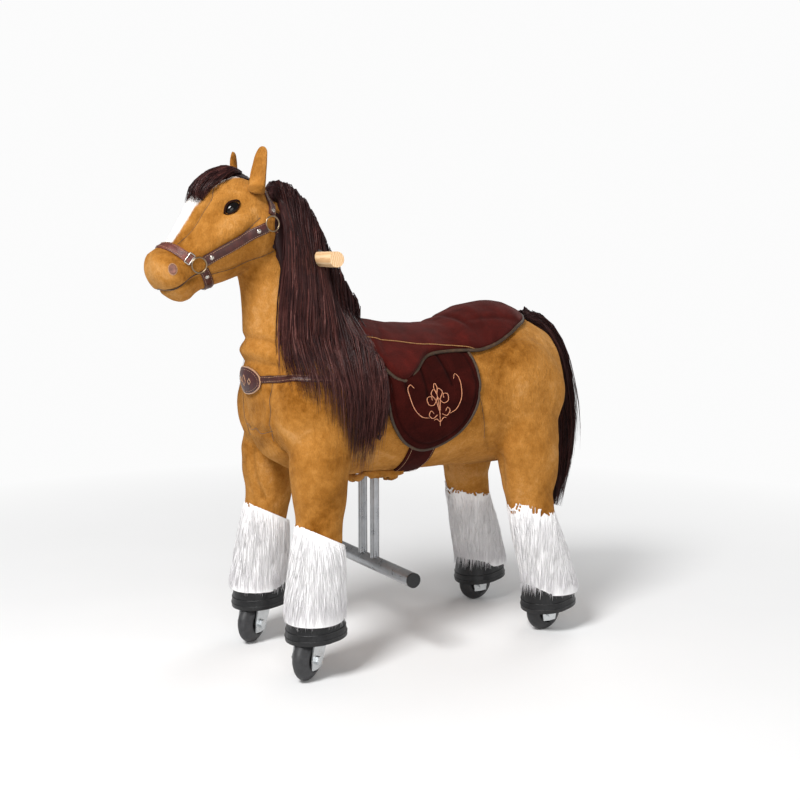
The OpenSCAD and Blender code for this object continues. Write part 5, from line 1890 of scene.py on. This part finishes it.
class HORSE_OT_forelock(bpy.types.Operator):
    """Comb the forelock forward between the ears"""

    bl_idname = "horse.forelock"
    bl_label = "Forelock"

    def execute(self, context):
        under = core("forelock_core", ["forelock"], 0.0030, 0.0055)
        set_coords(under, narrow_face(coords(under), 5.0))
        set_mask(under, "tone", np.full(len(under.data.vertices), 0.10))
        shade(under)
        put(under, FINISH["hair"], "body", ["forelock"])
        tree = SKIN["tree"]
        rng = random.Random(context.scene.horse_hair.seed + 11)
        b = Builder()
        for _ in range(1500):
            u0 = rng.uniform(-58, -8)
            v0 = rng.uniform(-27, 27)
            layer = rng.random()
            reach = rng.uniform(0.62, 1.0) * (92 - 0.55 * (u0 + 58))
            drift = rng.gauss(4, 5) + v0 * 0.15
            tall = 2 + 7 * layer
            pts = []
            for k in range(7):
                f = k / 6
                u = u0 + reach * f
                v = v0 + drift * f * f
                q, n = on_surface(tree, on_head(u, v, 76 - 0.003 * max(0, u) ** 2))
                pts.append(q + n * MM * (0.8 + tall * math.sin(math.pi * (0.10 + 0.86 * f)) ** 0.8))
            # the lightest locks carry the ramp's painted highlight, besides the hair's own varied tone
            tone = 0.24 + 0.45 * rng.random() ** 1.7
            hair(b, pts, 0.0009 + 0.0011 * rng.random() ** 2, (tone * 0.8, min(1, tone * 1.25)))
        locks = b.make("forelock_locks", fix=False)
        shade(locks)
        put(locks, FINISH["hair"], "body")
        return {"FINISHED"}


class HORSE_OT_tail(bpy.types.Operator):
    """Hang the tail from the rump"""

    bl_idname = "horse.tail"
    bl_label = "Tail"

    def execute(self, context):
        under = core("tail_core", ["tail"], 0.0040, 0.0040)
        set_mask(under, "tone", np.full(len(under.data.vertices), 0.10))
        shade(under)
        put(under, FINISH["hair"], "body", ["tail"])
        rng = random.Random(context.scene.horse_hair.seed + 23)
        line = resample([Vector((x, 0, z)) for x, z in TAIL], 0.012)
        b = Builder()
        for _ in range(1900):
            a = rng.uniform(0, 2 * math.pi)
            layer = 0.55 + 0.45 * rng.random() ** 0.5
            start = rng.random() ** 1.6 * 0.45
            end = min(1.0, start + rng.uniform(0.45, 0.85))
            pts = []
            wob = rng.gauss(0, 0.0015)
            for k in range(8):
                f = start + (end - start) * k / 7
                p = Vector(along([tuple(q) for q in line], f))
                q = Vector(along([tuple(q) for q in line], min(1, f + 0.02)))
                r = Vector(along([tuple(q) for q in line], max(0, f - 0.02)))
                t = (q - r).normalized()
                side = Vector((0, 1, 0))
                up = side.cross(t)
                thick = math.sin(math.pi * min(1, 0.13 + f * 0.80)) ** 0.8
                pts.append(p + (side * math.cos(a) * 0.0265 + up * math.sin(a) * 0.0175) * thick
                    * layer
                           + side * wob * k)
            # the lightest locks carry the ramp's painted highlight, besides the hair's own varied tone
            tone = 0.22 + 0.42 * rng.random() ** 1.8
            hair(b, pts, 0.0010 + 0.0012 * rng.random() ** 2, (tone * 0.8, min(1, tone * 1.15)))
        locks = b.make("tail_locks", fix=False)
        shade(locks)
        put(locks, FINISH["hair"], "body")
        return {"FINISHED"}


class HORSE_OT_cuffs(bpy.types.Operator):
    """Sew a long-haired white cuff round each foot"""

    bl_idname = "horse.cuffs"
    bl_label = "Fur Cuffs"

    def execute(self, context):
        h = context.scene.horse_hair
        for end in ("front", "rear"):
            hoof_tree = surface(NODES[end + "_hooves"])
            hoof_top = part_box(end + "_hooves")[1].z
            for side, name in ((1, "left"), (-1, "right")):
                cad = end + "_fur_" + name
                under = core(cad + "_base", [cad], 0.0024, 0.0010, 4)
                tree = surface(under)
                lo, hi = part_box(cad)
                c = (lo + hi) / 2
                set_mask(under, "tone", np.full(len(under.data.vertices), 1.0))
                shade(under)
                put(under, FINISH["white fur"], end + "_legs", [cad])
                rng = random.Random(h.seed + 31 + side + (5 if end == "rear" else 0))
                b = Builder()
                made = 0
                while made < h.cuff_locks:
                    a = rng.uniform(0, 2 * math.pi)
                    out = Vector((math.cos(a), math.sin(a), 0))
                    z = rng.uniform(lo.z + 0.034, hi.z - 0.003)
                    axis = Vector((c.x, c.y, z))
                    hit = tree.ray_cast(axis + out * 0.12, -out, 0.12)
                    if hit[0] is None or abs(hit[1].z) > 0.5 or (hit[0] - axis).dot(out) < 0.02:
                        continue
                    made += 1
                    lay = rng.random()
                    length = rng.uniform(0.034, 0.062)
                    low = max(lo.z - 0.006 + 0.018 * rng.random(), z - length)
                    pts, far = [], (hit[0] - axis).length
                    swing = rng.gauss(0, 0.035)
                    start = None
                    for k in range(6):
                        f = k / 5
                        zz = z + (low - z) * f
                        o = Vector((math.cos(a + swing * f), math.sin(a + swing * f), 0))
                        ax = Vector((c.x, c.y, zz))
                        best = 0.0
                        for tr in (tree, hoof_tree):
                            g = tr.ray_cast(ax + o * 0.12, -o, 0.12)
                            if g[0] is not None:
                                best = max(best, (g[0] - ax).length)
                        far = max(best, far - 0.0025) if k else far
                        lift = 0.0002 + (0.0012 + 0.0034 * lay) * f ** 0.8
                        pts.append(ax + o * (far + lift))
                    shade_tip = 1.0 if low > hoof_top - 0.004 else max(0.0,
                        1 - (hoof_top - low) / 0.030)
                    tone = 0.84 + 0.16 * rng.random()
                    hair(b, pts, 0.0006 + 0.0008 * rng.random(),
                        (tone, tone * (0.55 + 0.45 * shade_tip)), 0.6)
                tufts = b.make(cad + "_locks", fix=False)
                shade(tufts)
                put(tufts, FINISH["white fur"], end + "_legs")
        return {"FINISHED"}


# ------------------------------------------------------------------ finishes for the solid parts

SOLID = {
    "steel dark": ["main_frame", "front_link", "rear_link"],
    "nylon": ["pivot_bushes", "post_bushes"],
    "plywood": ["seat_board"],
    "beech": ["wooden_grip"],
    "zinc": ["grip_screws", "caster_kingpins", "caster_fork_left", "caster_fork_right",
        "caster_axle_left", "caster_axle_right",
             "rear_forks", "rear_axles", "return_spring", "girth_buckle"],
    "steel grey": ["front_leg_frame", "rear_leg_frame", "footrest_frame"],
    "cap": ["footrest_caps"],
    "hoof": ["front_hooves", "rear_hooves"],
    "tyre": ["front_tyre_left", "front_tyre_right"],
    "hub": ["front_hub_left", "front_hub_right", "rear_hub_left", "rear_hub_right",
        "rear_tyre_left", "rear_tyre_right"],
}


class HORSE_OT_hardware(bpy.types.Operator):
    """Finish the steel, wood and plastic parts"""

    bl_idname = "horse.hardware"
    bl_label = "Hardware"

    def execute(self, context):
        for finish, names in SOLID.items():
            for name in names:
                for entry in NODES[name].material_slots:
                    entry.material = FINISH[finish]
        # a raised bead moulded round each hoof, just over its rim, on a copy's own outline
        for end in ("front", "rear"):
            tree = surface(NODES[end + "_hooves"])
            lo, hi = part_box(end + "_hooves")
            pitch = math.radians(4 if end == "front" else 7)
            b = Builder()
            for side in (1, -1):
                c = Vector(((lo.x + hi.x) / 2, 0.109 * side, 0))
                for height, r in ((0.0135, 0.0014), (0.0035, 0.0010)):
                    loop = []
                    for k in range(72):
                        a = 2 * math.pi * k / 72
                        o = Vector((math.cos(a), math.sin(a), 0))
                        z = lo.z + 0.0035 + height - math.tan(pitch) * (o.x * 0.047 - 0.047)
                        hit = tree.ray_cast(Vector((c.x, c.y, z)) + o * 0.12, -o, 0.10)
                        if hit[0] is not None:
                            loop.append(hit[0] - o * 0.0003)
                    b.add(*tube(loop, r, 8, closed=True))
            bead = b.make(end + "_hoof_beads")
            shade(bead)
            put(bead, FINISH["hoof"], end + "_legs")
        return {"FINISHED"}


class HORSE_OT_stage(bpy.types.Operator):
    """Set the pale floor, the soft lights and the camera"""

    bl_idname = "horse.stage"
    bl_label = "Stage"

    def execute(self, context):
        deselect_all()
        bpy.ops.mesh.primitive_plane_add(size=40, location=(0, 0, -0.0005))
        floor = bpy.context.active_object
        floor.name = "floor"
        floor.data.materials.append(FINISH["floor"])
        for name, place, size, power, aim in (
            ("key_light", (2.2, 1.2, 2.9), 1.2, 128, (0, 0, 0.45)),
            ("side_light", (1.2, 2.8, 1.5), 1.6, 22, (0.1, 0, 0.45)),
            ("back_light", (-2.4, -1.6, 2.6), 2.0, 30, (0, 0, 0.5)),
            ("low_light", (-2.2, 2.0, 1.0), 1.6, 9, (-0.1, 0, 0.35)),
        ):
            deselect_all()
            bpy.ops.object.light_add(type="AREA", location=place)
            lamp = bpy.context.active_object
            lamp.name = name
            lamp.data.shape = "DISK"
            lamp.data.size = size
            lamp.data.energy = power
            lamp.rotation_euler = (Vector(aim) - Vector(place)).to_track_quat("-Z", "Y").to_euler()
        world = bpy.data.worlds.new("Studio")
        context.scene.world = world
        world.use_nodes = True
        back = world.node_tree.nodes["Background"]
        back.inputs["Color"].default_value = (1.0, 1.0, 1.0, 1)
        back.inputs["Strength"].default_value = 0.26
        seen = world.node_tree.nodes.new("ShaderNodeBackground")
        seen.inputs["Color"].default_value = (0.97, 0.97, 0.97, 1)
        path = world.node_tree.nodes.new("ShaderNodeLightPath")
        mix = world.node_tree.nodes.new("ShaderNodeMixShader")
        world.node_tree.links.new(path.outputs["Is Camera Ray"], mix.inputs[0])
        world.node_tree.links.new(back.outputs[0], mix.inputs[1])
        world.node_tree.links.new(seen.outputs[0], mix.inputs[2])
        world.node_tree.links.new(mix.outputs[0],
            world.node_tree.nodes["World Output"].inputs["Surface"])
        deselect_all()
        bpy.ops.object.camera_add(location=(1.0121, 1.7511, 0.6821))
        camera = bpy.context.active_object
        camera.name = "camera"
        camera.data.sensor_width = 36
        camera.data.lens = 52.83
        camera.data.clip_start = 0.05
        pitch, yaw = math.radians(-7.23), math.radians(-120.94)
        look = Vector((math.cos(yaw) * math.cos(pitch), math.sin(yaw) * math.cos(pitch),
            math.sin(pitch)))
        camera.rotation_euler = look.to_track_quat("-Z", "Y").to_euler()
        context.scene.camera = camera
        context.scene.view_settings.view_transform = "Standard"
        return {"FINISHED"}


class HORSE_PT_panel(bpy.types.Panel):
    """The makers of each part, in order"""

    bl_idname = "HORSE_PT_panel"
    bl_label = "Plush Riding Horse"
    bl_space_type = "VIEW_3D"
    bl_region_type = "UI"
    bl_category = "Horse"

    def draw(self, context):
        scene = context.scene
        for group_name in ("horse_fabric", "horse_hair", "horse_tack"):
            settings = getattr(scene, group_name)
            box = self.layout.box()
            for key in settings.__annotations__:
                box.prop(settings, key)
        for cls in MAKERS:
            self.layout.operator(cls.bl_idname)


MAKERS = [
    HORSE_OT_finishes, HORSE_OT_stage, HORSE_OT_hardware, HORSE_OT_skin, HORSE_OT_ears,
    HORSE_OT_face, HORSE_OT_halter,
    HORSE_OT_breast_strap, HORSE_OT_saddle, HORSE_OT_flaps, HORSE_OT_girth, HORSE_OT_mane,
    HORSE_OT_forelock, HORSE_OT_tail,
    HORSE_OT_cuffs, HORSE_OT_divide_skin,
]
SETTINGS = {"horse_fabric": HorseFabricSettings, "horse_hair": HorseHairSettings,
    "horse_tack": HorseTackSettings}


def register():
    for cls in [*SETTINGS.values(), *MAKERS, HORSE_PT_panel]:
        bpy.utils.register_class(cls)
    for name, cls in SETTINGS.items():
        setattr(bpy.types.Scene, name, PointerProperty(type=cls))


def unregister():
    for name in SETTINGS:
        delattr(bpy.types.Scene, name)
    for cls in reversed([*SETTINGS.values(), *MAKERS, HORSE_PT_panel]):
        bpy.utils.unregister_class(cls)


def main():
    register()
    for cls in MAKERS:
        family, action = cls.bl_idname.split(".")
        result = getattr(getattr(bpy.ops, family), action)()
        if result != {"FINISHED"}:
            raise RuntimeError(cls.bl_label + " was not finished")


if __name__ == "__main__":
    main()
